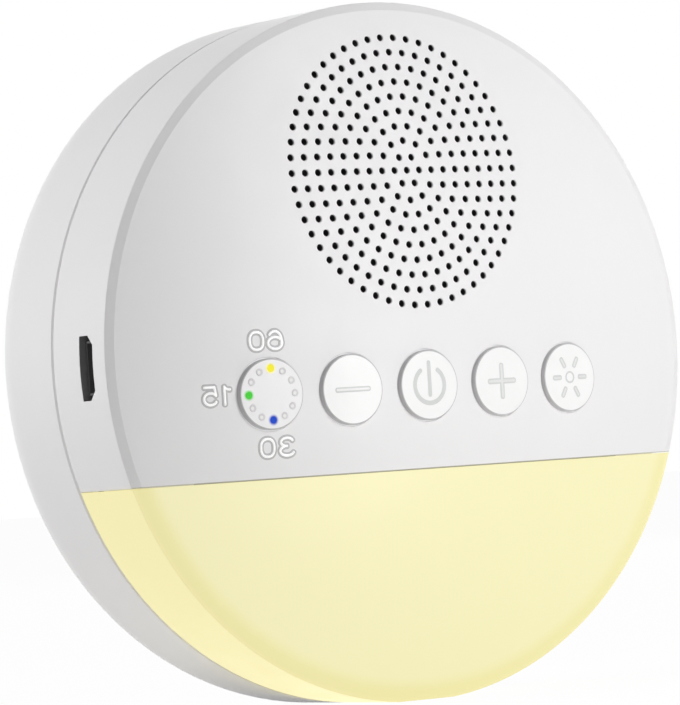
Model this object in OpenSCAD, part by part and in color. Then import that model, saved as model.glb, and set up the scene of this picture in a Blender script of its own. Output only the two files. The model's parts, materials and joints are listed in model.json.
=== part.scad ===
// White noise sound machine: a slim disc with a shallow domed face, standing on its rim.
// The upper front shell carries the loudspeaker and five push buttons, the lower one is a
// translucent lens with a night light behind it, and a rounded rear shell closes both.
//
// Every part is drawn lying on its back, with the disc's centre at x = y = 0 and the rim's
// front edge at z = 0, and is then stood up: the face looks along -Y and +Z is up.

/* [Body] */
// Diameter of the disc
body_d = 100; // [98:0.5:110]
// Width of the flat that the disc stands on
rest_w = 10; // [8:1:14]
// Wall thickness of the three shells
wall = 2; // [1.6:0.1:2.4]
// Depth of the front shells, from the rim's edge back to the seam
front_depth = 13.8; // [13.5:0.1:15]
// Depth of the rear housing, from the seam to its back face
rear_depth = 18.7; // [18:0.1:24]
// Radius of the rear housing's back edge
rear_round = 8; // [4:0.5:9]
// Rise of the face's dome above its rim
dome_rise = 4.8; // [4:0.2:6]
// Width of the rim's bevel, across the face
bevel_w = 1.2; // [0.6:0.1:2]
// Height of the rim's bevel, along the axis
bevel_h = 0.65; // [0.4:0.05:1.2]
// Drop of the line between housing and lens below the row of buttons
lens_drop = 11.8; // [11.8:0.1:14]
// Gap between two shells where they meet
seam_gap = 0.1; // [0.05:0.05:0.2]
// Side of the square groove, set on edge, that marks the seam
seam_groove = 0.5; // [0.3:0.1:0.8]
// Height of the rear housing's locating lip
lip_h = 1.5; // [1:0.1:1.8]
// Thickness of the locating lips
lip_t = 1; // [0.8:0.1:1.2]
// Clearance round a locating lip
lip_gap = 0.1; // [0.05:0.05:0.2]

/* [Grille] */
// Diameter of each sound hole
hole_d = 1; // [0.8:0.1:1.3]
// Spacing of the rings of sound holes
hole_pitch = 2.14; // [2:0.02:2.2]
// Number of rings round the centre hole
hole_rings = 9; // [6:1:9]
// Distance of the grille's centre below the top of the rim
grille_drop = 24.5; // [24:0.5:25.5]

/* [Buttons] */
// Diameter of a button's cap
button_d = 10; // [8:0.5:10.5]
// Spacing of the five buttons
button_pitch = 13; // [12.5:0.1:13.5]
// Drop of the row of buttons below the grille's centre
row_drop = 30.7; // [30:0.1:31.5]
// Height of a cap above the face
button_proud = 0.6; // [0.5:0.1:1]
// Travel of a button
button_travel = 0.4; // [0.2:0.1:0.5]
// Clearance round a cap in its hole
button_gap = 0.15; // [0.1:0.05:0.25]
// Width of the collar that keeps a cap in its hole
collar_w = 0.9; // [0.6:0.1:1]
// Thickness of that collar
collar_t = 0.8; // [0.6:0.1:1]
// Thickness of a cap's top
cap_top_t = 1.4; // [1.1:0.1:1.6]
// Thickness of a cap's side
cap_side_t = 0.6; // [0.5:0.1:0.8]
// Diameter of the stem that presses the switch
stem_d = 3; // [2.5:0.1:3.4]

/* [Timer lights] */
// Number of windows in the timer button
window_count = 12; // [8:4:12]
// Diameter of a window
window_d = 1; // [0.8:0.1:1.2]
// Radius of the ring of windows
window_ring_r = 3.6; // [3.2:0.1:3.8]
// Clearance round a light guide's peg in its window
peg_gap = 0.03; // [0.02:0.01:0.05]

/* [Socket] */
// Distance of the socket's centre behind the rim's front edge
socket_depth = 4.9; // [4.7:0.1:5.2]
// Height of the socket's opening in the wall
socket_open_w = 9; // [8.4:0.1:9.4]
// Width of the opening, along the disc's axis
socket_open_t = 3.4; // [3.2:0.1:3.8]
// Size of the opening's two bevelled corners
socket_corner = 1.3; // [0.8:0.1:1.4]
// Width of the socket's metal shell
socket_w = 7.5; // [7.3:0.1:7.8]
// Thickness of the socket's metal shell, outside
socket_t = 2.6; // [2.5:0.05:2.8]
// Length of the socket
socket_len = 5.2; // [5:0.1:5.8]
// Distance of the socket's mouth inside the wall's outer face
socket_inset = 1; // [0.5:0.1:1.4]

/* [Boards] */
// Thickness of the main board
board_t = 1.6; // [1.2:0.1:1.6]
// Half width of the main board
board_half_w = 32.5; // [32:0.5:33]
// Gap between the main board's upper edge and the wall round the speaker
board_top_gap = 0.5; // [0.3:0.1:0.9]
// Gap between the main board's lower edge and the light baffle
board_low_gap = 1.2; // [0.6:0.1:1.6]
// Width of a wire's plug on the main board
plug_w = 6; // [5:0.5:6]
// Length of such a plug, up the board
plug_l = 4.5; // [4:0.5:5]
// Height of such a plug
plug_h = 5.5; // [5:0.1:5.8]
// Thickness of the baffle between the boards
baffle_t = 1.5; // [1.2:0.1:1.8]
// Distance of the light board's front face behind the rim's edge
light_board_depth = 11; // [10.5:0.1:11]
// Thickness of the light board
light_board_t = 1.2; // [1:0.1:1.2]
// Number of night lights
night_led_count = 8; // [6:1:10]
// Length of a night light, along its row
night_led_w = 3.5; // [2.8:0.1:3.5]
// Width of a night light
night_led_l = 2.8; // [2.2:0.1:2.8]
// Height of a switch, from the board to the top of its plunger
switch_h = 5; // [4.8:0.1:5]
// Height of a switch's body
switch_body_h = 3.4; // [3.2:0.1:3.6]
// Width of a switch's body
switch_w = 6; // [5.6:0.1:6.2]
// Diameter of a switch's plunger
plunger_d = 3.4; // [3:0.1:3.6]

/* [Speaker] */
// Outer diameter of the speaker's frame
speaker_d = 43; // [42:0.5:43]
// Depth of the speaker, from the flange's front to its back plate
speaker_depth = 15.8; // [15.2:0.2:18]
// Distance of the speaker's seat behind the rim's edge
speaker_seat_depth = 3; // [2.8:0.1:3.2]
// Thickness of the foam ring on the seat
gasket_t = 0.8; // [0.6:0.1:1]
// Thickness of the frame's flange
flange_t = 1; // [0.8:0.1:1.2]
// Diameter of the magnet
magnet_d = 22; // [20:1:24]
// Height of the magnet
magnet_h = 4; // [3:0.5:5]
// Diameter of the voice coil, at the middle of its winding
coil_d = 10.5; // [10:0.1:11]
// Height of the cone's neck above the magnet's front plate
neck_h = 3.2; // [3.1:0.1:3.4]
// Travel of the cone each way
cone_travel = 0.5; // [0.3:0.1:0.6]

/* [Battery] */
// Length of the battery, across the body
battery_l = 50; // [40:1:52]
// Width of the battery, up the body
battery_w = 34; // [30:1:34]
// Thickness of the battery
battery_t = 10; // [8:0.5:10.5]
// Height of its lower edge above the inside of the rim
battery_rise = 11; // [10:0.5:13]
// Thickness of the foam tape under it
pad_t = 1; // [0.5:0.1:1.5]
// Distance of the tape's edges inside the battery's outline
pad_inset = 4; // [2:0.5:6]
// Height of the ribs round the battery's corners
fence_h = 5; // [3:0.5:7]
// Thickness of those ribs
fence_t = 1.2; // [0.8:0.1:1.6]
// Clearance between them and the battery
fence_gap = 0.3; // [0.2:0.1:0.5]

/* [Screws] */
// Radius of the circle that the housing screws lie on
screw_circle_r = 37.5; // [36.7:0.2:37.7]
// Diameter of the posts that take the housing screws
post_d = 6; // [5.4:0.2:6.4]
// Depth behind the rim's edge at which the posts meet the rear wells
post_depth = 20; // [18:0.5:22]
// Diameter of the wells' bore, for the screw heads
well_bore_d = 6; // [5.6:0.1:6.4]
// Wall of the wells
well_wall = 1; // [0.8:0.1:1.2]
// Diameter of a housing screw's shank
screw_d = 2.6; // [2.4:0.1:2.8]
// Diameter of the small screws' shanks
small_screw_d = 1.8; // [1.6:0.1:2]
// Length of thread that a screw has in its post
screw_grip = 6; // [5:0.5:7]

/* [Hidden] */

$fn = 48;
round_fn = 180;
dome_fn = 720;
over = 1;

// The shells
body_r = body_d / 2;
inner_r = body_r - wall;
dome_edge_r = body_r - bevel_w;
dome_r = (dome_edge_r * dome_edge_r + dome_rise * dome_rise) / (2 * dome_rise);
dome_z = bevel_h + dome_rise - dome_r;
face_top = bevel_h + dome_rise;
body_depth = front_depth + rear_depth;
back_inner_z = wall - body_depth;
rest_drop = sqrt(body_r * body_r - rest_w * rest_w / 4);
stand_mid = (body_depth - rear_round) / 2;
lip_r = inner_r - lip_gap;

// The face's layout hangs from the top of the rim
grille_y = body_r - grille_drop;
button_drop = row_drop - grille_y;
split_drop = button_drop + lens_drop;
speaker_r = speaker_d / 2;
speaker_bore_r = speaker_r + 0.1;
speaker_wall_t = 1.2;

// The row of buttons and what lies behind it
button_hole_d = button_d + 2 * button_gap;
button_collar_r = button_hole_d / 2 + collar_w;
collar_gap = 0.05;
board_z = -(socket_depth + socket_t / 2);
board_back_z = board_z - board_t;
board_low = -split_drop + baffle_t + board_low_gap;
board_top = grille_y - speaker_bore_r - speaker_wall_t - board_top_gap;
plug_back_z = board_back_z - plug_h;
plunger_top_z = board_z + switch_h;
plunger_len = 2.6;
tab_half_w = 4.6;
tab_end_r = inner_r - 1.4;
board_post_x = 1.5 * button_pitch;
board_post_d = 4.2;
board_post_y = [board_low + 2, board_top - 2];

// The night light
light_board_z = -light_board_depth;
light_board_r = lip_r - lip_t - 0.3;
light_post_d = 4.4;
light_post_x = 20;
light_post_y = -split_drop - 1.8;
lens_post_r = light_board_r - light_post_d / 2 - 0.8;
lens_post_angle = 53;
led_arc_r = lens_post_r - 9.6;
led_arc = acos((split_drop + 3) / led_arc_r);

// The loudspeaker
flange_z = -speaker_seat_depth - gasket_t;
flange_back_z = flange_z - flange_t;
grille_r = hole_rings * hole_pitch + hole_d / 2;
gasket_in_r = speaker_r - 1.6;
roll_r = 1.35;
skin_t = 0.35;
roll_mid_r = gasket_in_r - 3.3;
lip_out_r = roll_mid_r + roll_r;
cone_rim_r = roll_mid_r - roll_r;
coil_r = coil_d / 2;
back_plate_t = 1.6;
top_plate_t = 2;
yoke_back_z = flange_z - speaker_depth;
magnet_back_z = yoke_back_z + back_plate_t;
magnet_front_z = magnet_back_z + magnet_h;
plate_front_z = magnet_front_z + top_plate_t;
sheet_t = 0.8;
shelf_z = plate_front_z + 2.4;
well_r = coil_r + 6.2;
shelf_r = well_r + 2.2;
retainer_t = 1.4;
retainer_in_r = speaker_r - 2.6;
speaker_post_r = speaker_bore_r + speaker_wall_t + 1.8;
speaker_post_d = 4.2;
speaker_post_angles = [20, 160, 200, 340];
terminal_w = 7;
terminal_l = 2.4;
terminal_drop = terminal_l / 2 + 0.2 - speaker_r;
terminal_z = flange_back_z - retainer_t - 0.6;

// The battery, low in the rear shell so that the disc stands firm
battery_y = battery_rise + battery_w / 2 - inner_r;
battery_z = back_inner_z + pad_t;

// The screws are drawn at their cores, which fill the pilot holes
pilot_d = screw_d - 0.4;
core_d = pilot_d - 0.1;
small_pilot_d = small_screw_d - 0.3;
small_core_d = small_pilot_d - 0.1;
small_hole_d = small_screw_d + 0.3;
small_grip = 4;
screw_angles = [26, 154, 196, 344];
well_floor_t = 1.6;
well_floor_z = -post_depth - well_floor_t;
head_d = 5;
head_h = 1.9;
small_head_d = 3.6;
small_head_h = 1.3;

wire_d = 1.2;
wire_sides = 8;

BUTTONS = ["timer", "minus", "power", "plus", "light"];

function button_x(i) = (i - 2) * button_pitch;
function inner_face_z(x, y) = dome_z + sqrt(pow(dome_r - wall, 2) - x * x - y * y);

// Stands a part up from the drawing position
module upright() {
    translate([0, -stand_mid, rest_drop]) rotate([90, 0, 0]) children();
}

module at_grille() {
    translate([0, grille_y, 0]) children();
}

module at_row() {
    translate([0, -button_drop, 0]) children();
}

module at_button(i) {
    at_row() translate([button_x(i), 0, 0]) children();
}

module at_housing_screws() {
    for (a = screw_angles)
        translate([screw_circle_r * cos(a), screw_circle_r * sin(a), 0]) children();
}

module at_board_screws() {
    for (x = [-board_post_x, board_post_x])
        for (y = board_post_y)
            translate([x, y, 0]) children();
}

module at_speaker_screws() {
    at_grille()
        for (a = speaker_post_angles)
            translate([speaker_post_r * cos(a), speaker_post_r * sin(a), 0]) children();
}

module at_light_posts() {
    for (x = [-light_post_x, light_post_x])
        translate([x, light_post_y, 0]) children();
}

module at_lens_posts() {
    for (a = [-lens_post_angle, lens_post_angle - 180])
        translate([lens_post_r * cos(a), lens_post_r * sin(a), 0]) children();
}

// A cylinder between two heights
module rod(d, low, high) {
    translate([0, 0, low]) cylinder(d = d, h = high - low);
}

// A ring between two heights
module ring(r_out, r_in, low, high) {
    difference() {
        translate([0, 0, low]) cylinder(r = r_out, h = high - low, $fn = round_fn);
        translate([0, 0, low - over])
            cylinder(r = r_in, h = high - low + 2 * over, $fn = round_fn);
    }
}

// A box between two heights, centred in plan
module slab(w, l, low, high) {
    translate([-w / 2, -l / 2, low]) cube([w, l, high - low]);
}

// Half of the front shells' section, drawn in by inset, from the face down to low
module front_section(inset, low) {
    rim = inset == 0
        ? [[body_r, 0], [dome_edge_r, bevel_h], [dome_edge_r, face_top + over]]
        : [[body_r - inset, face_top + over]];
    intersection() {
        translate([0, dome_z]) circle(r = dome_r - inset, $fn = dome_fn);
        polygon(concat([[0, low], [body_r - inset, low]], rim, [[0, face_top + over]]));
    }
}

module front_solid(inset, low) {
    rotate_extrude($fn = round_fn) front_section(inset, low);
}

module seam_cut() {
    translate([body_r, -front_depth]) rotate(45) square(seam_groove, center = true);
}

// Both front shells in one piece, before they are parted at the split line
module front_shell() {
    rotate_extrude($fn = round_fn) difference() {
        front_section(0, seam_gap / 2 - front_depth);
        front_section(wall, -front_depth - over);
        seam_cut();
    }
}

// Everything above or below a level line across the disc
module above(y) {
    translate([-body_d, y, -body_d]) cube([2 * body_d, 2 * body_d, 2 * body_d]);
}

module below(y) {
    translate([-body_d, y - 2 * body_d, -body_d])
        cube([2 * body_d, 2 * body_d, 2 * body_d]);
}

// The flat under the rim
module rest_cut() {
    below(-rest_drop);
}

// The outline of the socket's opening, with the bevelled corners towards the face
module socket_outline(w, t, corner) {
    polygon([
        [-w / 2, -t / 2], [w / 2, -t / 2], [w / 2, t / 2 - corner],
        [w / 2 - corner, t / 2], [corner - w / 2, t / 2], [-w / 2, t / 2 - corner]
    ]);
}

module along_socket(from_x, length) {
    translate([from_x, 0, -socket_depth])
        rotate([90, 0, 90]) linear_extrude(length) children();
}

module sound_holes() {
    at_grille() {
        rod(hole_d, -over - wall, face_top + over, $fn = 24);
        for (k = [1:hole_rings])
            for (j = [0:6 * k - 1])
                rotate(60 * j / k)
                    translate([k * hole_pitch, 0, 0])
                        rod(hole_d, -over - wall, face_top + over, $fn = 24);
    }
}

// Posts, seat and baffle moulded inside the upper front shell
module front_fittings() {
    intersection() {
        front_solid(wall / 2, -body_depth);
        union() {
            at_housing_screws() rod(post_d, -post_depth, face_top);
            at_board_screws() rod(board_post_d, board_z, face_top);
            at_speaker_screws() rod(speaker_post_d, flange_back_z, face_top);
            at_light_posts() {
                rod(light_post_d, light_board_z, bevel_h - wall);
                translate([-light_post_d / 2, 0, light_board_z])
                    cube([light_post_d, light_post_d / 2, bevel_h - wall - light_board_z]);
            }
            at_grille() {
                ring(speaker_bore_r + speaker_wall_t, speaker_bore_r - 0.01,
                     flange_back_z, face_top);
                ring(speaker_bore_r, grille_r + 0.3, -speaker_seat_depth, face_top);
            }
            translate([-body_r, seam_gap / 2 - split_drop, light_board_z])
                cube([body_d, baffle_t, light_board_depth + face_top]);
        }
    }
}

// The tongue behind the split line, which lines up the lens
module split_tongue() {
    tongue_h = 2;
    intersection() {
        difference() {
            front_solid(wall + lip_gap, light_board_z);
            front_solid(wall + lip_gap + lip_t, light_board_z - over);
        }
        translate([-body_d, -split_drop - tongue_h, -body_d])
            cube([2 * body_d, tongue_h + baffle_t, 2 * body_d]);
    }
}

module front_housing() {
    color("white") upright() difference() {
        union() {
            intersection() {
                front_shell();
                above(seam_gap / 2 - split_drop);
            }
            front_fittings();
            split_tongue();
        }
        sound_holes();
        for (i = [0:4]) at_button(i) rod(button_hole_d, -over - wall, face_top + over);
        along_socket(-body_r - over, wall + over + 1.5)
            socket_outline(socket_open_w, socket_open_t, socket_corner);
        at_housing_screws() rod(pilot_d, -post_depth - over, -post_depth + screw_grip + 2);
        at_board_screws() rod(small_pilot_d, board_z - over, board_z + small_grip + 0.5);
        at_speaker_screws()
            rod(small_pilot_d, flange_back_z - over, flange_back_z + small_grip + 0.5);
        at_light_posts()
            rod(small_pilot_d, light_board_z - over, light_board_z + small_grip + 2);
    }
}

module light_diffuser() {
    color("lemonchiffon") upright() difference() {
        union() {
            intersection() {
                front_shell();
                below(-seam_gap / 2 - split_drop);
            }
            intersection() {
                front_solid(wall / 2, -body_depth);
                at_lens_posts() rod(light_post_d, light_board_z, face_top);
            }
        }
        at_lens_posts() rod(small_pilot_d, light_board_z - over, light_board_z + small_grip + 2);
        rest_cut();
    }
}

// Half of the rear housing's section, drawn in by inset, up to high
module rear_section(inset, high) {
    low = inset - body_depth;
    bend = rear_round - inset;
    flat_r = body_r - rear_round;
    translate([0, low]) square([flat_r, high - low]);
    translate([0, low + bend]) square([body_r - inset, high - low - bend]);
    translate([flat_r, low + bend]) circle(r = bend, $fn = round_fn);
}

// Ribs round the battery's four corners
module battery_corners() {
    leg = 7;
    for (sx = [-1, 1])
        for (sy = [-1, 1])
            translate([sx * battery_l / 2, battery_y + sy * battery_w / 2, -body_depth])
                scale([sx, sy, 1]) difference() {
                    translate([-leg, -leg, 0])
                        cube([leg + fence_gap + fence_t, leg + fence_gap + fence_t,
                              wall + fence_h]);
                    translate([-leg - over, -leg - over, -over])
                        cube([leg + over + fence_gap, leg + over + fence_gap,
                              wall + fence_h + 2 * over]);
                }
}

module rear_housing() {
    color("whitesmoke") upright() difference() {
        union() {
            intersection() {
                rotate_extrude($fn = round_fn) rear_section(wall / 2, -front_depth);
                battery_corners();
            }
            rotate_extrude($fn = round_fn) {
                difference() {
                    rear_section(0, -front_depth - seam_gap / 2);
                    rear_section(wall, -front_depth + over);
                    seam_cut();
                }
                translate([lip_r - lip_t, -front_depth - 2])
                    square([lip_t, lip_h + 2]);
                translate([lip_r - lip_t, -front_depth - 2])
                    square([lip_t + wall / 2, 2 - seam_gap / 2]);
            }
            at_housing_screws()
                rod(well_bore_d + 2 * well_wall, wall / 2 - body_depth, -post_depth);
        }
        at_housing_screws() {
            rod(well_bore_d, -body_depth - over, well_floor_z);
            rod(screw_d + 0.4, well_floor_z - over, -post_depth + over);
        }
        rest_cut();
    }
}

// A hollow push cap whose top and collar follow the dome
module button_cap(i) {
    collar_low = inner_face_z(abs(button_x(i)) + button_collar_r, button_drop) - collar_gap
        - collar_t;
    difference() {
        union() {
            intersection() {
                front_solid(-button_proud, -body_depth);
                at_button(i) rod(button_d, collar_low, face_top + 2 * over);
            }
            intersection() {
                front_solid(wall + collar_gap, -body_depth);
                at_button(i) rod(2 * button_collar_r, collar_low, face_top);
            }
        }
        intersection() {
            front_solid(cap_top_t - button_proud, -body_depth);
            at_button(i)
                ring(button_d / 2 - cap_side_t, stem_d / 2, collar_low - over, face_top + over);
        }
    }
    at_button(i) rod(stem_d, plunger_top_z, collar_low + over);
}

module at_windows() {
    for (j = [0:window_count - 1])
        rotate(360 * j / window_count) translate([window_ring_r, 0, 0]) children();
}

module timer_button() {
    color("white") upright() difference() {
        button_cap(0);
        at_button(0) at_windows() rod(window_d, -over, face_top + 2 * over);
    }
}

module minus_button() {
    color("white") upright() button_cap(1);
}

module power_button() {
    color("white") upright() button_cap(2);
}

module plus_button() {
    color("white") upright() button_cap(3);
}

module light_button() {
    color("white") upright() button_cap(4);
}

// A clear ring under the timer's cap, with a peg in each window and a leg over each lamp
module timer_light_guide() {
    ring_top = inner_face_z(abs(button_x(0)) + button_collar_r, button_drop) + wall
        + button_proud - cap_top_t - 0.35;
    ring_t = 0.8;
    leg_w = 0.9;
    color("lightcyan") upright() {
        intersection() {
            front_solid(-button_proud, -body_depth);
            at_button(0) at_windows()
                rod(window_d - 2 * peg_gap, ring_top - ring_t / 2, face_top + 2 * over, $fn = 32);
        }
        at_button(0) {
            ring(window_ring_r + 0.55, window_ring_r - 0.55, ring_top - ring_t, ring_top);
            for (a = [90, 180, 270])
                rotate(a) translate([window_ring_r + 0.1, 0, 0])
                    slab(leg_w, leg_w, board_z + 1.3, ring_top - ring_t / 2);
        }
    }
}

module switch_bodies() {
    well_d = plunger_d + 0.2;
    color("dimgray") upright()
        for (i = [0:4])
            at_button(i) difference() {
                slab(switch_w, switch_w, board_z, board_z + switch_body_h);
                rod(well_d, plunger_top_z - plunger_len - button_travel - 0.2,
                    board_z + switch_body_h + over);
            }
}

module plunger(i) {
    color("black") upright()
        at_button(i) rod(plunger_d, plunger_top_z - plunger_len, plunger_top_z);
}

module timer_plunger() {
    plunger(0);
}

module minus_plunger() {
    plunger(1);
}

module power_plunger() {
    plunger(2);
}

module plus_plunger() {
    plunger(3);
}

module light_plunger() {
    plunger(4);
}

module timer_leds() {
    led_w = 1.6;
    led_t = 0.8;
    led_h = 0.6;
    color("gold") upright()
        at_button(0)
            for (a = [90, 180, 270])
                rotate(a) translate([window_ring_r + 0.35, 0, 0])
                    slab(led_t, led_w, board_z, board_z + led_h);
}

socket_mouth_x = socket_inset - body_r;

module usb_socket() {
    skin = 0.3;
    color("silver") upright() difference() {
        along_socket(socket_mouth_x, socket_len)
            socket_outline(socket_w, socket_t, 0.9);
        along_socket(socket_mouth_x - over, socket_len - skin + over)
            socket_outline(socket_w - 2 * skin, socket_t - 2 * skin, 0.75);
    }
}

module usb_tongue() {
    color("black") upright() {
        translate([socket_mouth_x + 0.8, -1.9, -socket_depth - 0.1]) cube([3.2, 3.8, 0.65]);
        translate([socket_mouth_x + socket_len - 1.5, -3, -socket_depth - 0.9])
            cube([1.1, 6, 1.6]);
    }
}

// The main board, with the tab that carries the socket
module main_board() {
    corner = 1.5;
    color("darkgreen") upright() difference() {
        translate([0, 0, board_back_z]) linear_extrude(board_t) intersection() {
            circle(r = tab_end_r, $fn = round_fn);
            union() {
                translate([-board_half_w, board_low + corner])
                    square([2 * board_half_w, board_top - board_low - 2 * corner]);
                translate([corner - board_half_w, board_low])
                    square([2 * (board_half_w - corner), board_top - board_low]);
                translate([-body_r, -tab_half_w])
                    square([body_r - board_half_w + 6, 2 * tab_half_w]);
            }
        }
        at_board_screws() rod(small_hole_d, board_back_z - over, board_z + over);
    }
}

// Chips and capacitors on the board's back, placed from the row of buttons, and one on the tab
module board_chips() {
    chips = [[-26, -4.3, 8, 6, 1.2], [-25, 2.7, 6, 5, 1.5], [0, -2.8, 7, 7, 0.9],
             [26, 3.7, 5, 4, 1.1]];
    cans = [[6.5, 3.7], [-6.5, 3.7]];
    can_d = 5;
    can_h = 5.4;
    color("dimgray") upright() {
        at_row() {
            for (c = chips)
                translate([c[0], c[1], 0]) slab(c[2], c[3], board_back_z - c[4], board_back_z);
            for (c = cans)
                translate([c[0], c[1], 0]) rod(can_d, board_back_z - can_h, board_back_z);
        }
        translate([12 - body_r, 0, 0]) slab(5, 4, board_back_z - 1, board_back_z);
    }
}

plug_y = -button_drop - 3.8;
battery_plug = [-12, plug_y];
speaker_plug = [12.5, plug_y];
light_plug = [26, plug_y];

module wire_connectors() {
    color("ivory") upright()
        for (p = [battery_plug, speaker_plug, light_plug])
            translate([p[0], p[1], 0]) slab(plug_w, plug_l, plug_back_z, board_back_z);
}

module board_screws() {
    color("silver") upright()
        at_board_screws() {
            rod(small_head_d, board_back_z - small_head_h, board_back_z);
            rod(small_core_d, board_back_z - 0.5, board_z + small_grip);
        }
}

// The night light's board closes the back of the lens
module light_board() {
    upper = -split_drop - 0.2;
    color("white") upright() difference() {
        translate([0, 0, light_board_z - light_board_t])
            linear_extrude(light_board_t)
                intersection() {
                    circle(r = light_board_r, $fn = round_fn);
                    translate([-body_r, upper - body_r]) square([body_d, body_r]);
                }
        at_light_screws()
            rod(small_hole_d, light_board_z - light_board_t - over, light_board_z + over);
    }
}

module at_light_screws() {
    at_light_posts() children();
    at_lens_posts() children();
}

module night_leds() {
    led_h = 0.8;
    step = 2 * led_arc / (night_led_count - 1);
    color("khaki") upright()
        for (i = [0:night_led_count - 1])
            rotate(-led_arc + i * step) translate([0, -led_arc_r, 0])
                slab(night_led_w, night_led_l, light_board_z, light_board_z + led_h);
}

module light_board_screws() {
    back = light_board_z - light_board_t;
    color("silver") upright()
        at_light_screws() {
            rod(small_head_d - 0.4, back - small_head_h, back);
            rod(small_core_d, back - 0.5, light_board_z + small_grip);
        }
}

// A thin cloth that follows the inside of the dome behind the holes
module dust_cloth() {
    cloth_t = 0.25;
    skin_gap = 0.05;
    color("black") upright() intersection() {
        difference() {
            front_solid(wall + skin_gap, -front_depth);
            front_solid(wall + skin_gap + cloth_t, -front_depth - over);
        }
        at_grille() rod(2 * (grille_r + 0.1), -front_depth, face_top, $fn = round_fn);
    }
}

module speaker_gasket() {
    color("dimgray") upright()
        at_grille() ring(speaker_r, gasket_in_r, flange_z, -speaker_seat_depth);
}

// The pressed steel frame, with four windows in its cone
module speaker_basket() {
    window_w = 9;
    color("gray") upright() at_grille() difference() {
        rotate_extrude($fn = round_fn) polygon([
            [speaker_r, flange_z], [lip_out_r, flange_z], [lip_out_r, flange_back_z],
            [shelf_r - sheet_t, shelf_z], [well_r - sheet_t, shelf_z],
            [well_r - sheet_t, plate_front_z + sheet_t], [coil_r + 1.6, plate_front_z + sheet_t],
            [coil_r + 1.6, plate_front_z], [well_r, plate_front_z], [well_r, shelf_z - sheet_t],
            [shelf_r, shelf_z - sheet_t], [lip_out_r + sheet_t, flange_back_z],
            [speaker_r, flange_back_z]
        ]);
        for (a = [45:90:315])
            rotate(a) translate([shelf_r + 0.6, -window_w / 2, shelf_z + 0.3])
                cube([10, window_w, flange_back_z - shelf_z - 1.1]);
    }
}

// The rubber half roll between cone and frame
module speaker_surround() {
    color("black") upright() at_grille() rotate_extrude($fn = round_fn) {
        intersection() {
            translate([roll_mid_r, flange_z]) difference() {
                circle(r = roll_r);
                circle(r = roll_r - skin_t);
            }
            translate([0, flange_z]) square([speaker_r, roll_r + over]);
        }
        translate([lip_out_r - skin_t / 2, flange_z])
            square([gasket_in_r - 0.1 - lip_out_r, skin_t]);
        translate([cone_rim_r - 0.9, flange_z]) square([0.9 + skin_t / 2, skin_t]);
    }
}

cone_t = 0.4;
neck_z = plate_front_z + neck_h;
neck_r = coil_r + 0.3;

module speaker_cone() {
    color("darkslategray") upright() at_grille() rotate_extrude($fn = round_fn)
        polygon([
            [neck_r, neck_z], [neck_r, neck_z + cone_t + 0.3],
            [cone_rim_r - 1.1, flange_z], [cone_rim_r, flange_z],
            [cone_rim_r, flange_z - cone_t], [cone_rim_r - 0.9, flange_z - cone_t]
        ]);
}

// A shallow cap that seats on the cone
module speaker_dust_cap() {
    cap_r = neck_r + 1.4;
    cap_rise = 1.8;
    cap_t = 0.3;
    slope = (flange_z - neck_z - cone_t - 0.3) / (cone_rim_r - 1.1 - neck_r);
    seat_z = neck_z + cone_t + 0.3 + slope * (cap_r - neck_r) + 0.02;
    ball_r = (cap_r * cap_r + cap_rise * cap_rise) / (2 * cap_rise);
    color("black") upright() at_grille() rotate_extrude($fn = round_fn)
        intersection() {
            translate([0, seat_z + cap_rise - ball_r]) difference() {
                circle(r = ball_r, $fn = round_fn);
                circle(r = ball_r - cap_t, $fn = round_fn);
            }
            translate([0, seat_z]) square([cap_r, cap_rise + over]);
        }
}

module speaker_voice_coil() {
    color("peru") upright() at_grille()
        ring(neck_r, coil_r - 0.25, plate_front_z - 1.4, neck_z + 0.3);
}

// The corrugated cloth ring that centres the coil
module speaker_spider() {
    waves = 3;
    spider_t = 0.3;
    from_r = neck_r + 0.02;
    to_r = shelf_r - sheet_t - 0.05;
    span = (to_r - from_r - 1) / (2 * waves);
    top = [for (i = [0:2 * waves]) [from_r + i * span, shelf_z + spider_t + (i % 2) * 0.4]];
    low = [for (i = [2 * waves:-1:0]) [from_r + i * span, shelf_z + (i % 2) * 0.4]];
    color("goldenrod") upright() at_grille() rotate_extrude($fn = round_fn)
        polygon(concat(top, [[to_r, shelf_z + spider_t], [to_r, shelf_z]], low));
}

module speaker_top_plate() {
    color("silver") upright() at_grille()
        ring(magnet_d / 2 - 0.5, coil_r + 0.65, magnet_front_z, plate_front_z);
}

module speaker_magnet() {
    color("darkgray") upright() at_grille()
        ring(magnet_d / 2, coil_r + 1.5, magnet_back_z, magnet_front_z);
}

module speaker_yoke() {
    color("silver") upright() at_grille() {
        rod(magnet_d - 1, yoke_back_z, magnet_back_z, $fn = round_fn);
        rod(coil_d - 1.2, magnet_back_z - 0.5, plate_front_z, $fn = round_fn);
    }
}

module speaker_terminals() {
    color("peru") upright() at_grille() translate([0, terminal_drop, 0])
        slab(terminal_w, terminal_l, terminal_z, flange_back_z);
}

// The clamp ring that holds the speaker in its seat, clear of the side wall
module speaker_retainer() {
    back = flange_back_z - retainer_t;
    color("whitesmoke") upright() difference() {
        intersection() {
            union() {
                at_grille()
                    ring(speaker_bore_r + speaker_wall_t, retainer_in_r, back, flange_back_z);
                at_speaker_screws() rod(speaker_post_d + 0.8, back, flange_back_z);
            }
            rod(2 * (inner_r - 0.3), back - over, flange_back_z + over, $fn = round_fn);
        }
        at_speaker_screws() rod(small_hole_d, back - over, flange_back_z + over);
        at_grille() translate([0, terminal_drop, 0])
            slab(terminal_w + 0.6, terminal_l + 0.6, back - over, flange_back_z + over);
    }
}

module speaker_screws() {
    back = flange_back_z - retainer_t;
    color("silver") upright() at_speaker_screws() {
        rod(small_head_d, back - small_head_h, back);
        rod(small_core_d, back - 0.5, flange_back_z + small_grip);
    }
}

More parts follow.
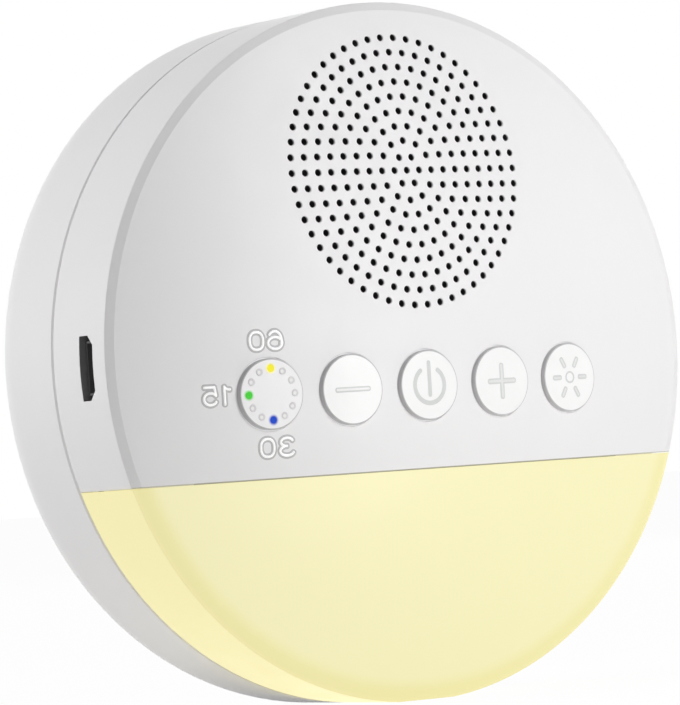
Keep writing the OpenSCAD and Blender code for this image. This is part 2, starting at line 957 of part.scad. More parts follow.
// A flat cell with rounded long edges
module battery_cell() {
    edge = 2;
    color("lightsteelblue") upright()
        translate([0, battery_y - battery_w / 2, battery_z])
            rotate([90, 0, 90]) translate([0, 0, -battery_l / 2])
                linear_extrude(battery_l) union() {
                    translate([edge, 0]) square([battery_w - 2 * edge, battery_t]);
                    translate([0, edge]) square([battery_w, battery_t - 2 * edge]);
                    for (x = [edge, battery_w - edge])
                        for (z = [edge, battery_t - edge])
                            translate([x, z]) circle(r = edge);
                }
}

module battery_pad() {
    color("dimgray") upright()
        translate([0, battery_y, 0])
            slab(battery_l - 2 * pad_inset, battery_w - 2 * pad_inset, back_inner_z, battery_z);
}

// Points on a smooth curve through a list of points
function unit(v) = v / norm(v);
function on_curve(p, i, t) =
    let (n = len(p) - 1, a = p[max(i - 1, 0)], b = p[i], c = p[min(i + 1, n)],
         d = p[min(i + 2, n)])
    0.5 * (2 * b + (c - a) * t + (2 * a - 5 * b + 4 * c - d) * t * t
        + (3 * b - a - 3 * c + d) * t * t * t);
function smooth(p, steps) = concat(
    [for (i = [0:len(p) - 2]) for (k = [0:steps - 1]) on_curve(p, i, k / steps)],
    [p[len(p) - 1]]);

// A round wire along a list of points, square at both ends; across lies across all of it
module wire(points, across) {
    path = smooth(points, 4);
    n = len(path) - 1;
    last = len(points) - 1;
    rings = [for (i = [0:n])
        let (t = unit(i == 0 ? points[1] - points[0]
                 : i == n ? points[last] - points[last - 1]
                 : path[i + 1] - path[i - 1]),
             u = unit(across - (across * t) * t), v = cross(t, u))
        for (k = [0:wire_sides - 1])
            path[i] + wire_d / 2 * (cos(360 * k / wire_sides) * u
                + sin(360 * k / wire_sides) * v)];
    sides = [for (i = [0:n - 1]) for (k = [0:wire_sides - 1])
        let (a = i * wire_sides + k, b = i * wire_sides + (k + 1) % wire_sides)
        [a, a + wire_sides, b + wire_sides, b]];
    ends = [[for (k = [0:wire_sides - 1]) k],
            [for (k = [wire_sides - 1:-1:0]) n * wire_sides + k]];
    polyhedron(points = rings, faces = concat(sides, ends), convexity = 4);
}

// Two wires side by side
module wire_pair(points, across) {
    for (s = [-1, 1])
        wire([for (p = points) p + s * 0.8 * unit(across)], across);
}

battery_top_y = battery_y + battery_w / 2;
battery_mid_z = battery_z + battery_t / 2;
terminal_y = grille_y + terminal_drop;

// They leave the plug, run between board and battery, and bend round the battery's upper edge
module battery_leads() {
    x = battery_plug[0];
    y = battery_plug[1];
    lead_z = (plug_back_z + battery_z + battery_t) / 2;
    color("firebrick") upright() wire_pair([
        [x, y, plug_back_z], [x, y, (plug_back_z + lead_z) / 2], [x, y + 2, lead_z],
        [x, battery_top_y, lead_z - 0.4], [x, battery_top_y + 3, (lead_z + battery_mid_z) / 2],
        [x, battery_top_y + 1.6, battery_mid_z], [x, battery_top_y, battery_mid_z]
    ], [1, 0, 0]);
}

module speaker_leads() {
    x = speaker_plug[0];
    y = speaker_plug[1];
    color("firebrick") upright() wire_pair([
        [x, y, plug_back_z], [x, y, plug_back_z - 2], [x - 1.5, y + 2.5, plug_back_z - 3.6],
        [x - 8, terminal_y - 6.5, plug_back_z - 3], [2.5, terminal_y - 1.5, terminal_z - 4],
        [2, terminal_y, terminal_z - 1.5], [2, terminal_y, terminal_z]
    ], [1, 0.3, 0]);
}

module light_leads() {
    x = light_plug[0];
    y = light_plug[1];
    pad_z = light_board_z - light_board_t;
    color("firebrick") upright() wire_pair([
        [x, y, plug_back_z], [x, y, plug_back_z - 1.6], [x, y - 2.4, plug_back_z - 3.2],
        [x, -split_drop - 2, plug_back_z - 2.8], [x, -split_drop - 4, pad_z - 1.6],
        [x, -split_drop - 4, pad_z]
    ], [1, 0, 0]);
}

module housing_screws() {
    color("silver") upright() at_housing_screws() {
        rod(head_d, well_floor_z - head_h, well_floor_z);
        rod(core_d, well_floor_z - 0.5, -post_depth + screw_grip);
    }
}

front_housing();
light_diffuser();
rear_housing();
timer_button();
timer_light_guide();
minus_button();
power_button();
plus_button();
light_button();
usb_socket();
usb_tongue();
main_board();
board_chips();
wire_connectors();
switch_bodies();
timer_plunger();
minus_plunger();
power_plunger();
plus_plunger();
light_plunger();
timer_leds();
light_board();
night_leds();
light_board_screws();
dust_cloth();
speaker_gasket();
speaker_basket();
speaker_surround();
speaker_cone();
speaker_dust_cap();
speaker_voice_coil();
speaker_spider();
speaker_top_plate();
speaker_magnet();
speaker_yoke();
speaker_terminals();
speaker_retainer();
speaker_screws();
battery_cell();
battery_pad();
battery_leads();
speaker_leads();
light_leads();
board_screws();
housing_screws();
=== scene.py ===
"""Finishes, raised marks, lights and camera of the white noise sound machine.

Lengths in the shape functions are in millimetres from the centre of the disc: u to the right
and v up across the face, and depth back from the rim's front edge.
"""

import json

import bmesh
import bpy
import numpy as np
from mathutils import Matrix, Vector
from mathutils.geometry import delaunay_2d_cdt

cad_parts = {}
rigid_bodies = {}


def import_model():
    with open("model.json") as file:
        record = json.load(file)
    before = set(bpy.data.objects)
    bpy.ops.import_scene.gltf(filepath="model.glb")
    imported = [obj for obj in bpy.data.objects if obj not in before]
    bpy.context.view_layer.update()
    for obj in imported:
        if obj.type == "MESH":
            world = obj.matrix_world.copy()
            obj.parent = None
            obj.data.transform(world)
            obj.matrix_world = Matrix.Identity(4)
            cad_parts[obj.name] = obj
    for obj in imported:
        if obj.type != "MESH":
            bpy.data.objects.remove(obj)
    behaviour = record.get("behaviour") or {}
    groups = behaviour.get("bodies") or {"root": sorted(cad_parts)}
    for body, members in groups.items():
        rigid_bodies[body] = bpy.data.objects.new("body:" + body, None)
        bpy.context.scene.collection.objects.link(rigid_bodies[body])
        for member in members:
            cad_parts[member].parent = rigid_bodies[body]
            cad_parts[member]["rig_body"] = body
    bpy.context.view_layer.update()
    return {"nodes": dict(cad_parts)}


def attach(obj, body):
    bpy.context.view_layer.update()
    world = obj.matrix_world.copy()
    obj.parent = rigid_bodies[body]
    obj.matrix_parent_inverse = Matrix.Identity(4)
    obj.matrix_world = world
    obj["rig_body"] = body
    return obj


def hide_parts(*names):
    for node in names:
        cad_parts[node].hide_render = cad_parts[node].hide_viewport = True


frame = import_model()

MM = 0.001

# The disc, as in the part's source
DISC_R = 50.0
REST_W = 10.0
FRONT_DEPTH = 13.8
REAR_DEPTH = 18.7
REAR_ROUND = 8.0
DOME_RISE = 4.8
BEVEL_W = 1.2
BEVEL_H = 0.65
SPLIT_V = -17.0
DOME_EDGE_R = DISC_R - BEVEL_W
DOME_R = (DOME_EDGE_R**2 + DOME_RISE**2) / (2 * DOME_RISE)
DOME_DEPTH = DOME_R - BEVEL_H - DOME_RISE
REST_DROP = float(np.sqrt(DISC_R**2 - REST_W**2 / 4))
STAND_MID = (FRONT_DEPTH + REAR_DEPTH - REAR_ROUND) / 2

# The row of buttons
ROW_V = -5.2
BUTTON_PITCH = 13.0
BUTTON_R = 5.0
BUTTON_PROUD = 0.6
BUTTON_GAP = 0.15
BUTTONS = ("timer", "minus", "power", "plus", "light")
WINDOW_RING_R = 3.6
WINDOW_R = 0.5
WINDOW_ANGLES = range(0, 360, 30)
LIT = {90: "yellow", 180: "green", 270: "blue"}

# The charging socket's opening, and the u left of which its wall lies
SOCKET_DEPTH = 4.9
SOCKET_OPEN_W = 9.0
SOCKET_OPEN_T = 3.4
SOCKET_WALL_U = -44.0

# The grille and the cloth behind it
GRILLE_V = 25.5
HOLE_R = 0.5
HOLE_PITCH = 2.14
HOLE_RINGS = 9
GRILLE_R = HOLE_RINGS * HOLE_PITCH + HOLE_R
CLOTH_R = GRILLE_R + 0.1
CLOTH_BACK = 2.05
CLOTH_T = 0.25

# Roundings of the edges
EDGE_ROUND = 0.15
SEAM_ROUND = 0.06
HOLE_ROUND = 0.07
BUTTON_HOLE_ROUND = 0.12
CAP_ROUND = 0.22
WINDOW_ROUND = 0.05

# The camera: azimuth, elevation and roll in degrees, aim and distance in metres, and lens
VIEW_TURNS = (34.66, -1.534, -4.016)
VIEW_AIM = (-0.010883, -0.01225, 0.049982)
VIEW_AWAY = 0.67523
VIEW_LENS = 243.89

# 1 writes the timer's numbers the usual way round, -1 as in a mirror
NUMBER_SIDE = -1

WHITE = (1.0, 1.0, 1.0, 1.0)
BLACK = (0.0, 0.0, 0.0, 1.0)


def srgb(*levels):
    """The linear colour of three 0 to 255 screen levels."""
    c = np.array(levels, float) / 255
    return tuple(np.where(c <= 0.04045, c / 12.92, ((c + 0.055) / 1.055) ** 2.4)) + (1.0,)


def in_frame(u, v, depth=0.0):
    """Metres in the part's frame of a place on the disc."""
    return u * MM, (depth - STAND_MID) * MM, (v + REST_DROP) * MM


def on_disc(points):
    """u, v and depth of points in the part's frame."""
    x, y, z = points.T / MM
    return x, z - REST_DROP, y + STAND_MID


# ---------------------------------------------------------------- shader nodes


def put(tree, value, socket):
    """Sets a socket to a number or colour, or leads another socket into it."""
    if isinstance(value, bpy.types.NodeSocket):
        tree.links.new(value, socket)
    else:
        socket.default_value = value


def add(tree, kind, *values, **named):
    """A shader node. Its first sockets take the values, and a name sets a setting where it is
    written small, or else the socket of that name."""
    node = tree.nodes.new("ShaderNode" + kind)
    for name, value in named.items():
        if name.islower():
            setattr(node, name, value)
    for socket, value in zip(node.inputs, values):
        put(tree, value, socket)
    for name, value in named.items():
        if not name.islower():
            put(tree, value, node.inputs[name.replace("_", " ")])
    return node


def maths(tree, operation, *values, clamp=False):
    """One Math node on sockets or numbers."""
    return add(tree, "Math", *values, operation=operation, use_clamp=clamp).outputs[0]


def hypotenuse(tree, a, b):
    """The root of a squared plus b squared."""
    squares = [maths(tree, "MULTIPLY", side, side) for side in (a, b)]
    return maths(tree, "SQRT", maths(tree, "ADD", *squares))


def noise(tree, vector, scale, detail, rough):
    """One Noise Texture."""
    return add(tree, "TexNoise", Vector=vector, Scale=scale, Detail=detail,
               Roughness=rough).outputs["Fac"]


def ramp(tree, value, low, high, out_low=0.0, out_high=1.0):
    """value from low to high, turned into out_low to out_high with soft ends."""
    return add(tree, "MapRange", interpolation_type="SMOOTHSTEP", Value=value, From_Min=low,
               From_Max=high, To_Min=out_low, To_Max=out_high).outputs["Result"]


def blend_colour(tree, fac, a, b, mode="MIX"):
    """Colour a led towards b by the share fac."""
    node = add(tree, "Mix", data_type="RGBA", blend_type=mode)
    sockets = [s for s in node.inputs if s.enabled]
    for socket, value in zip(sockets, (fac, a, b)):
        put(tree, value, socket)
    return [s for s in node.outputs if s.enabled][0]


def dimmed(tree, colour, loss):
    """A colour less this share of itself."""
    keep = maths(tree, "SUBTRACT", 1.0, loss)
    grey = add(tree, "CombineColor", keep, keep, keep)
    return blend_colour(tree, 1.0, colour, grey.outputs[0], "MULTIPLY")


def object_place(tree):
    """The place of the point being shaded, in the part's frame."""
    return add(tree, "TexCoord").outputs["Object"]


def object_axes(tree):
    """X, Y and Z of that place."""
    return add(tree, "SeparateXYZ", object_place(tree)).outputs


# ---------------------------------------------------------------- camera and studio


def set_camera():
    """A long lens from the left of the face and a little below its middle."""
    azimuth, elevation, roll = np.radians(VIEW_TURNS)
    look = np.array([np.sin(azimuth) * np.cos(elevation),
                     np.cos(azimuth) * np.cos(elevation), -np.sin(elevation)])
    level = np.cross(look, (0, 0, 1))
    level /= np.linalg.norm(level)
    upright = np.cross(level, look)
    data = bpy.data.cameras.new("portrait")
    data.sensor_fit = "AUTO"
    data.sensor_width = 36.0
    data.lens = VIEW_LENS
    data.clip_start, data.clip_end = 0.01, 20.0
    camera = bpy.data.objects.new("portrait", data)
    matrix = np.eye(4)
    matrix[:3, 0] = level * np.cos(roll) + upright * np.sin(roll)
    matrix[:3, 1] = -level * np.sin(roll) + upright * np.cos(roll)
    matrix[:3, 2] = -look
    matrix[:3, 3] = np.array(VIEW_AIM) - VIEW_AWAY * look
    camera.matrix_world = Matrix(matrix.tolist())
    bpy.context.scene.collection.objects.link(camera)
    bpy.context.scene.camera = camera


def lamp(name, around, above, distance, size, power):
    """A soft box of this width and height, which faces the middle of the disc: around is its
    bearing from the face's front towards the right."""
    a, e = np.radians([around, above])
    centre = np.array([0.0, 0.0, 0.05])
    way = np.array([np.sin(a) * np.cos(e), -np.cos(a) * np.cos(e), np.sin(e)])
    data = bpy.data.lights.new(name, "AREA")
    data.shape = "RECTANGLE"
    data.size, data.size_y = size
    data.energy = power
    light = bpy.data.objects.new(name, data)
    light.location = Vector(centre + distance * way)
    light.rotation_mode = "QUATERNION"
    light.rotation_quaternion = Vector(way).to_track_quat("Z", "Y")
    bpy.context.scene.collection.objects.link(light)
    return light


def by_ray(tree, lighting, shown, end):
    """Ends a tree in one shader for the rays that light the object, and one for what the
    camera sees straight, in gloss or through a clear piece."""
    rays = add(tree, "LightPath").outputs
    seen = rays["Is Camera Ray"]
    for kind in ("Glossy", "Transmission"):
        seen = maths(tree, "MAXIMUM", seen, rays[f"Is {kind} Ray"])
    mix = add(tree, "MixShader", seen, lighting.outputs[0], shown.outputs[0])
    add(tree, end, Surface=mix.outputs[0])


def fill_world(strength):
    """An even pale surround that shows white to the camera and in gloss."""
    world = bpy.data.worlds.new("surround")
    bpy.context.scene.world = world
    world.use_nodes = True
    tree = world.node_tree
    tree.nodes.clear()
    by_ray(tree, add(tree, "Background", WHITE, strength), add(tree, "Background", WHITE),
           "OutputWorld")


def floor_material(shadow):
    """A pale floor that shows white to the camera, with a share of its own shading."""
    material = bpy.data.materials.new("studio floor")
    material.use_nodes = True
    tree = material.node_tree
    tree.nodes.clear()
    paper = add(tree, "BsdfDiffuse", (0.88, 0.88, 0.88, 1.0))
    bright = add(tree, "BsdfDiffuse", WHITE)
    white = add(tree, "Emission")
    seen = add(tree, "MixShader", 1 - shadow, bright.outputs[0], white.outputs[0])
    by_ray(tree, paper, seen, "OutputMaterial")
    return material


def studio():
    """Floor, lamps and surround."""
    mesh = bpy.data.meshes.new("studio_floor")
    side = 8.0
    mesh.from_pydata([(-side, -side, 0), (side, -side, 0), (side, side, 0), (-side, side, 0)],
                     [], [(0, 1, 2, 3)])
    mesh.materials.append(floor_material(0.03))
    floor = bpy.data.objects.new("studio_floor", mesh)
    bpy.context.scene.collection.objects.link(floor)
    lamp("key", 23, 14, 0.22, (0.05, 0.2), 0.295).visible_camera = False
    lamp("rear_left", -120, 8, 1.2, (0.7, 0.7), 7.0)
    lamp("rear_top", -120, 55, 1.2, (0.7, 0.7), 4.8)
    lamp("rear_right", 130, 24, 1.2, (0.7, 0.7), 2.4)
    fill_world(0.11)


# ---------------------------------------------------------------- shared effects


def open_group(name, **inputs):
    """An empty shader group: its tree, and its inputs' sockets by name. Each input is a
    number, a vector of three or a colour of four, as its value here is."""
    tree = bpy.data.node_groups.new(name, "ShaderNodeTree")
    for label, value in inputs.items():
        kind = {1: "Float", 3: "Vector", 4: "Color"}[np.size(value)]
        socket = tree.interface.new_socket(label, in_out="INPUT",
                                           socket_type="NodeSocket" + kind)
        socket.default_value = value
    return tree, tree.nodes.new("NodeGroupInput").outputs


def close_group(tree, **outputs):
    """Leads these sockets out of a group: Colour is a colour, and the others are numbers."""
    for label in outputs:
        kind = "Color" if label == "Colour" else "Float"
        tree.interface.new_socket(label, in_out="OUTPUT", socket_type="NodeSocket" + kind)
    out = tree.nodes.new("NodeGroupOutput")
    for label, source in outputs.items():
        tree.links.new(source, out.inputs[label])
    return tree


def use(tree, group, **values):
    """The outputs of a group placed in a tree with these inputs."""
    return add(tree, "Group", node_tree=group, **values).outputs


def moulded_group():
    """Spark-eroded grain of a moulding, with faint clouds in tone and gloss."""
    tree, given = open_group("moulded grain", Colour=WHITE, Gloss=0.4, Grain=3500.0,
                             Clouds=0.02)
    place = object_place(tree)
    cloud = noise(tree, place, 45.0, 4.0, 0.55)
    smear = noise(tree, place, 160.0, 2.0, 0.5)
    gloss = maths(tree, "MULTIPLY", maths(tree, "SUBTRACT", smear, 0.5), 0.16)
    return close_group(
        tree,
        Colour=dimmed(tree, given["Colour"], maths(tree, "MULTIPLY", cloud, given["Clouds"])),
        Roughness=maths(tree, "ADD", given["Gloss"], gloss, clamp=True),
        Height=noise(tree, place, given["Grain"], 3.0, 0.6))


def spot_group():
    """A round glow across the face: 1 within the radius of its centre, falling to 0 over the
    soft width."""
    tree, given = open_group("lamp spot", Centre=(0.0, 0.0, 0.0), Radius=0.0005, Soft=0.0002)
    away = add(tree, "VectorMath", object_place(tree), given["Centre"], operation="SUBTRACT")
    x, _, z = add(tree, "SeparateXYZ", away.outputs[0]).outputs
    edge = maths(tree, "ADD", given["Radius"], given["Soft"])
    return close_group(tree, Mask=ramp(tree, hypotenuse(tree, x, z), given["Radius"], edge,
                                       1.0, 0.0))


def rim_group():
    """0 within a radius of the nearest button's axis, and 1 beyond the soft width round it."""
    tree, given = open_group("cap rim", Radius=0.0048, Soft=0.0001)
    x, _, z = object_axes(tree)
    pitch = BUTTON_PITCH * MM
    place = maths(tree, "ROUND", maths(tree, "DIVIDE", x, pitch))
    last = (len(BUTTONS) - 1) / 2
    place = maths(tree, "MINIMUM", maths(tree, "MAXIMUM", place, -last), last)
    away = hypotenuse(tree, maths(tree, "SUBTRACT", x, maths(tree, "MULTIPLY", place, pitch)),
                      maths(tree, "SUBTRACT", z, (ROW_V + REST_DROP) * MM))
    edge = maths(tree, "ADD", given["Radius"], given["Soft"])
    return close_group(tree, Mask=ramp(tree, away, given["Radius"], edge))


def hole_group():
    """Masks for painted shade, 1 below the dome's surface: Mask within the grille, Below
    anywhere.
    """
    tree, given = open_group("hole shade", Start=0.0001, Full=0.0004)
    far = add(tree, "VectorMath", object_place(tree), in_frame(0.0, 0.0, DOME_DEPTH),
              operation="DISTANCE")
    below = maths(tree, "SUBTRACT", DOME_R * MM, far.outputs["Value"])
    deep = ramp(tree, below, given["Start"], given["Full"])
    within = use(tree, SPOT, Centre=in_frame(0.0, GRILLE_V), Radius=GRILLE_R * MM + 1e-4,
                 Soft=1e-4)
    return close_group(tree, Mask=maths(tree, "MULTIPLY", deep, within["Mask"]), Below=deep)


def opening_group():
    """1 inside the wall round the charging socket, 0 on the wall's outer face: where the shell
    is given painted shade.
    """
    tree, given = open_group("socket opening", Start=0.00002, Full=0.0001)
    x, y, z = object_axes(tree)
    v = maths(tree, "SUBTRACT", z, REST_DROP * MM)
    depth = maths(tree, "ADD", y, (STAND_MID - SOCKET_DEPTH) * MM)
    below = maths(tree, "SUBTRACT", DISC_R * MM, hypotenuse(tree, x, v))
    mask = maths(tree, "MULTIPLY", ramp(tree, below, given["Start"], given["Full"]),
                 maths(tree, "LESS_THAN", x, SOCKET_WALL_U * MM))
    margin = 0.1
    for across, half in ((v, SOCKET_OPEN_W / 2), (depth, SOCKET_OPEN_T / 2)):
        near = maths(tree, "LESS_THAN", maths(tree, "ABSOLUTE", across), (half + margin) * MM)
        mask = maths(tree, "MULTIPLY", mask, near)
    return close_group(tree, Mask=mask)


def line_group():
    """0.7 on the face within a narrow strip just above the lens, 0 elsewhere: where painted
    shade marks the seam.
    """
    tree, given = open_group("lens line", Width=0.0001, Soft=0.0001)
    _, y, z = object_axes(tree)
    above = maths(tree, "SUBTRACT", z, (SPLIT_V + REST_DROP) * MM)
    edge = maths(tree, "ADD", given["Width"], given["Soft"])
    front = maths(tree, "LESS_THAN", y, -STAND_MID * MM)
    return close_group(tree, Mask=maths(tree, "MULTIPLY", front,
                                        ramp(tree, above, given["Width"], edge, 0.7, 0.0)))


def weave_group():
    """Plain weave: threads over and under each other across the face, in two tones."""
    tree, given = open_group("plain weave", Under=BLACK, Over=WHITE, Threads=2500.0)
    x, _, z = object_axes(tree)
    waves = [maths(tree, "SINE", maths(tree, "MULTIPLY", axis, given["Threads"]))
             for axis in (x, z)]
    over = maths(tree, "MULTIPLY", *waves)
    tone = ramp(tree, maths(tree, "ABSOLUTE", over), 0.0, 0.5)
    return close_group(tree, Colour=blend_colour(tree, tone, given["Under"], given["Over"]),
                       Height=ramp(tree, over, -1.0, 1.0))


def metal_group():
    """Drawn or rolled metal: fine streaks and a little tarnish."""
    tree, given = open_group("worked metal", Colour=(0.6, 0.6, 0.6, 1.0),
                             Tarnish=(0.3, 0.28, 0.25, 1.0), Gloss=0.3)
    place = object_place(tree)
    stretch = add(tree, "Mapping", Vector=place, Scale=(1.0, 12.0, 1.0))
    streak = noise(tree, stretch.outputs[0], 900.0, 3.0, 0.6)
    stain = ramp(tree, noise(tree, place, 220.0, 4.0, 0.6), 0.5, 0.8, 0.0, 0.35)
    spread = maths(tree, "MULTIPLY", maths(tree, "SUBTRACT", streak, 0.4), 0.25)
    return close_group(
        tree, Colour=blend_colour(tree, stain, given["Colour"], given["Tarnish"]),
        Roughness=maths(tree, "ADD", given["Gloss"], spread, clamp=True), Height=streak)


def cells_group():
    """Open cells or fibres: rounded pits of one size."""
    tree, given = open_group("small cells", Colour=(0.1, 0.1, 0.1, 1.0), Size=2500.0, Pit=0.4)
    cell = add(tree, "TexVoronoi", Vector=object_place(tree), Scale=given["Size"])
    depth = ramp(tree, cell.outputs["Distance"], 0.1, 0.6)
    loss = maths(tree, "MULTIPLY", depth, given["Pit"])
    return close_group(tree, Colour=dimmed(tree, given["Colour"], loss), Height=depth)


def tracks_group():
    """Copper tracks under a board's lacquer, as long bricks with thin joints."""
    tree, given = open_group("board tracks", Lacquer=(0.01, 0.12, 0.04, 1.0),
                             Track=(0.02, 0.2, 0.06, 1.0))
    turn = add(tree, "Mapping", Vector=object_place(tree), Rotation=(np.pi / 2, 0.0, 0.0))
    brick = add(tree, "TexBrick", Vector=turn.outputs[0], Scale=260.0, Mortar_Size=0.03,
                Brick_Width=1.7, Row_Height=0.33, Color1=WHITE, Color2=(0.8, 0.8, 0.8, 1.0),
                Mortar=BLACK)
    level = add(tree, "SeparateColor", brick.outputs["Color"]).outputs[0]
    return close_group(
        tree, Colour=blend_colour(tree, level, given["Lacquer"], given["Track"]), Height=level)


MOULDED = moulded_group()
SPOT = spot_group()
RIM = rim_group()
HOLE = hole_group()
OPENING = opening_group()
LINE = line_group()
WEAVE = weave_group()
METAL = metal_group()
CELLS = cells_group()
TRACKS = tracks_group()


# ---------------------------------------------------------------- materials


def shader_of(material):
    """A material's Principled shader."""
    return material.node_tree.nodes["Principled BSDF"]


def finish(name, group, depth, values, **sockets):
    """A Principled material whose colour, bump of this depth in metres, and roughness where
    the group has one come from a group with these values. The sockets are the shader's own."""
    material = bpy.data.materials.new(name)
    material.use_nodes = True
    tree, shader = material.node_tree, shader_of(material)
    for label, value in sockets.items():
        shader.inputs[label.replace("_", " ")].default_value = value
    skin = use(tree, group, **values)
    tree.links.new(skin["Colour"], shader.inputs["Base Color"])
    if "Roughness" in skin:
        tree.links.new(skin["Roughness"], shader.inputs["Roughness"])
    bump = add(tree, "Bump", Height=skin["Height"], Distance=depth, Strength=1.0)
    tree.links.new(bump.outputs[0], shader.inputs["Normal"])
    return material


def moulded(name, colour, gloss, grain=3500.0, depth=6e-6, clouds=0.02, **sockets):
    """Moulded plastic. Without clouds, its colour is the same all over."""
    material = finish(name, MOULDED, depth,
                      dict(Colour=colour, Gloss=gloss, Grain=grain, Clouds=clouds), **sockets)
    if clouds == 0.0:
        base = shader_of(material).inputs["Base Color"]
        material.node_tree.links.remove(base.links[0])
        base.default_value = colour
    return material


def metal(name, colour, tarnish, gloss, depth=3e-6):
    """Bare or plated metal."""
    return finish(name, METAL, depth, dict(Colour=colour, Tarnish=tarnish, Gloss=gloss),
                  Metallic=1.0)


def celled(name, colour, size, pit, roughness, depth):
    """Foam, paper, ferrite or rubber, by the size of its cells."""
    return finish(name, CELLS, depth, dict(Colour=colour, Size=size, Pit=pit),
                  Roughness=roughness)


def board(name, lacquer, track):
    """A lacquered circuit board."""
    return finish(name, TRACKS, 3e-5, dict(Lacquer=lacquer, Track=track), Roughness=0.35)


def tint(material, mask, colour):
    """Leads a material's colour towards another where a mask is set."""
    base = shader_of(material).inputs["Base Color"]
    tree = material.node_tree
    under = base.links[0].from_socket if base.is_linked else tuple(base.default_value)
    tree.links.new(blend_colour(tree, mask, under, colour), base)


def glow(material, colour, strength):
    """Emission of a colour or a socket."""
    inputs = shader_of(material).inputs
    put(material.node_tree, colour, inputs["Emission Color"])
    inputs["Emission Strength"].default_value = strength


# Emission strengths: the lit windows and the painted glow in the gaps, the lens, the painted
# glow of the raised marks, and the painted glow of dark pieces
GLOW_LEVEL = 0.32
LENS_LEVEL = 0.66
MARK_LEVEL = 0.2
DARK_LEVEL = 0.015
GLOW = {"yellow": srgb(232, 222, 48), "green": srgb(70, 196, 58), "blue": srgb(24, 68, 188)}


def button_u(name):
    """u of a button's axis."""
    return (BUTTONS.index(name) - 2) * BUTTON_PITCH


def window_place(angle):
    """u and v of the centre of a timer window."""
    a = np.radians(angle)
    return (float(button_u("timer") + WINDOW_RING_R * np.cos(a)),
            float(ROW_V + WINDOW_RING_R * np.sin(a)))


def gap_mask(tree):
    """1 below the face close round a cap."""
    below = use(tree, HOLE)["Below"]
    beyond = use(tree, RIM, Radius=(BUTTON_R + BUTTON_GAP + BUTTON_HOLE_ROUND) * MM, Soft=2e-4)
    return maths(tree, "MULTIPLY", below, maths(tree, "SUBTRACT", 1.0, beyond["Mask"]))


def painted_gap_glow(tree):
    """Painted light: a faint white glow in the gap round a cap, which lightens its shade."""
    return blend_colour(tree, gap_mask(tree), BLACK, WHITE)


def lit_windows(material, radius, soft, level):
    """Adds each lit window's glow to a material's colour and emission, over the painted glow
    in the gap round a cap.
    """
    tree = material.node_tree
    light = painted_gap_glow(tree)
    for angle, name in LIT.items():
        spot = use(tree, SPOT, Centre=in_frame(*window_place(angle)), Radius=radius * MM,
                   Soft=soft * MM)
        mask = maths(tree, "MULTIPLY", spot["Mask"], level)
        tint(material, mask, GLOW[name])
        light = blend_colour(tree, mask, light, GLOW[name])
    glow(material, light, GLOW_LEVEL)


def cap_material(name, colour, gloss):
    """A button cap, with painted shade: a thin darker line round the edge of its top, and its
    wall a little grey, each by how far inside the cap's radius it starts."""
    material = moulded(name, colour, gloss, grain=4200.0, depth=3e-6, clouds=0.01)
    tree = material.node_tree
    for inset, soft, shade in ((0.27, 8e-5, srgb(196, 195, 197)),
                               (0.015, 1e-5, srgb(214, 213, 215))):
        edge = use(tree, RIM, Radius=(BUTTON_R - inset) * MM, Soft=soft)
        tint(material, edge["Mask"], shade)
    return material


def housing_material():
    """The front shell, with painted shade: dark in the sound holes and the socket opening,
    grey round the caps and in a line above the lens, and a faint painted glow in the gaps
    round the caps."""
    material = moulded("housing white", srgb(240, 239, 240), 0.42)
    tree = material.node_tree
    # painted shade: the walls of the sound holes darkened below the face
    tint(material, maths(tree, "MULTIPLY", use(tree, HOLE)["Mask"], 0.97), srgb(30, 30, 32))
    # painted shade: grey on the walls of the gaps round the caps
    tint(material, maths(tree, "MULTIPLY", gap_mask(tree), 0.9), srgb(172, 171, 173))
    # painted shade: a grey line on the face along the seam above the lens
    tint(material, use(tree, LINE)["Mask"], srgb(150, 148, 128))
    # painted shade: the wall round the charging socket darkened inside its opening
    tint(material, use(tree, OPENING)["Mask"], srgb(142, 142, 143))
    # painted light: a faint white glow on the walls of the gaps round the caps
    glow(material, painted_gap_glow(tree), GLOW_LEVEL)
    return material


def lens_material():
    """The lens, lit from inside: the light falls off in two steps towards the rim."""
    material = moulded("lens cream", srgb(153, 149, 116), 0.38, depth=5e-6, clouds=0.01)
    tree = material.node_tree
    light = srgb(247, 237, 173)
    for radius, soft, colour in ((49.2, 0.8, srgb(242, 234, 167)),
                                 (46.3, 2.3, srgb(247, 241, 191))):
        within = use(tree, SPOT, Centre=in_frame(0.0, 0.0), Radius=radius * MM, Soft=soft * MM)
        light = blend_colour(tree, within["Mask"], light, colour)
    glow(material, light, LENS_LEVEL)
    return material


housing_white = housing_material()
rear_white = moulded("rear white", srgb(240, 239, 240), 0.46, grain=3000.0, depth=9e-6)
button_white = cap_material("button white", srgb(248, 248, 248), 0.34)
# painted light: the cap glows faintly in the gap round it
glow(button_white, painted_gap_glow(button_white.node_tree), GLOW_LEVEL)
timer_white = cap_material("timer cap white", srgb(250, 249, 250), 0.36)
lit_windows(timer_white, 0.45, 0.45, 0.9)
FINE = dict(grain=6000.0, depth=1e-6)
guide_clear = moulded("light guide", srgb(252, 252, 250), 0.3, **FINE, clouds=0.0,
                      Specular_IOR_Level=0.1)
lit_windows(guide_clear, 0.6, 0.1, 1.0)
lens_cream = lens_material()
mark_white = moulded("mark white", srgb(254, 254, 254), 0.3, **FINE, clouds=0.0)
# painted light: the raised numbers glow a little
glow(mark_white, WHITE, MARK_LEVEL)
# painted shade: the grey outline round the raised numbers
mark_outline_shade = moulded("mark grey", srgb(192, 191, 192), 0.5, **FINE)
symbol_grey = moulded("symbol grey", srgb(214, 216, 215), 0.45, **FINE)
symbol_pale = moulded("symbol pale", srgb(232, 233, 232), 0.45, **FINE)
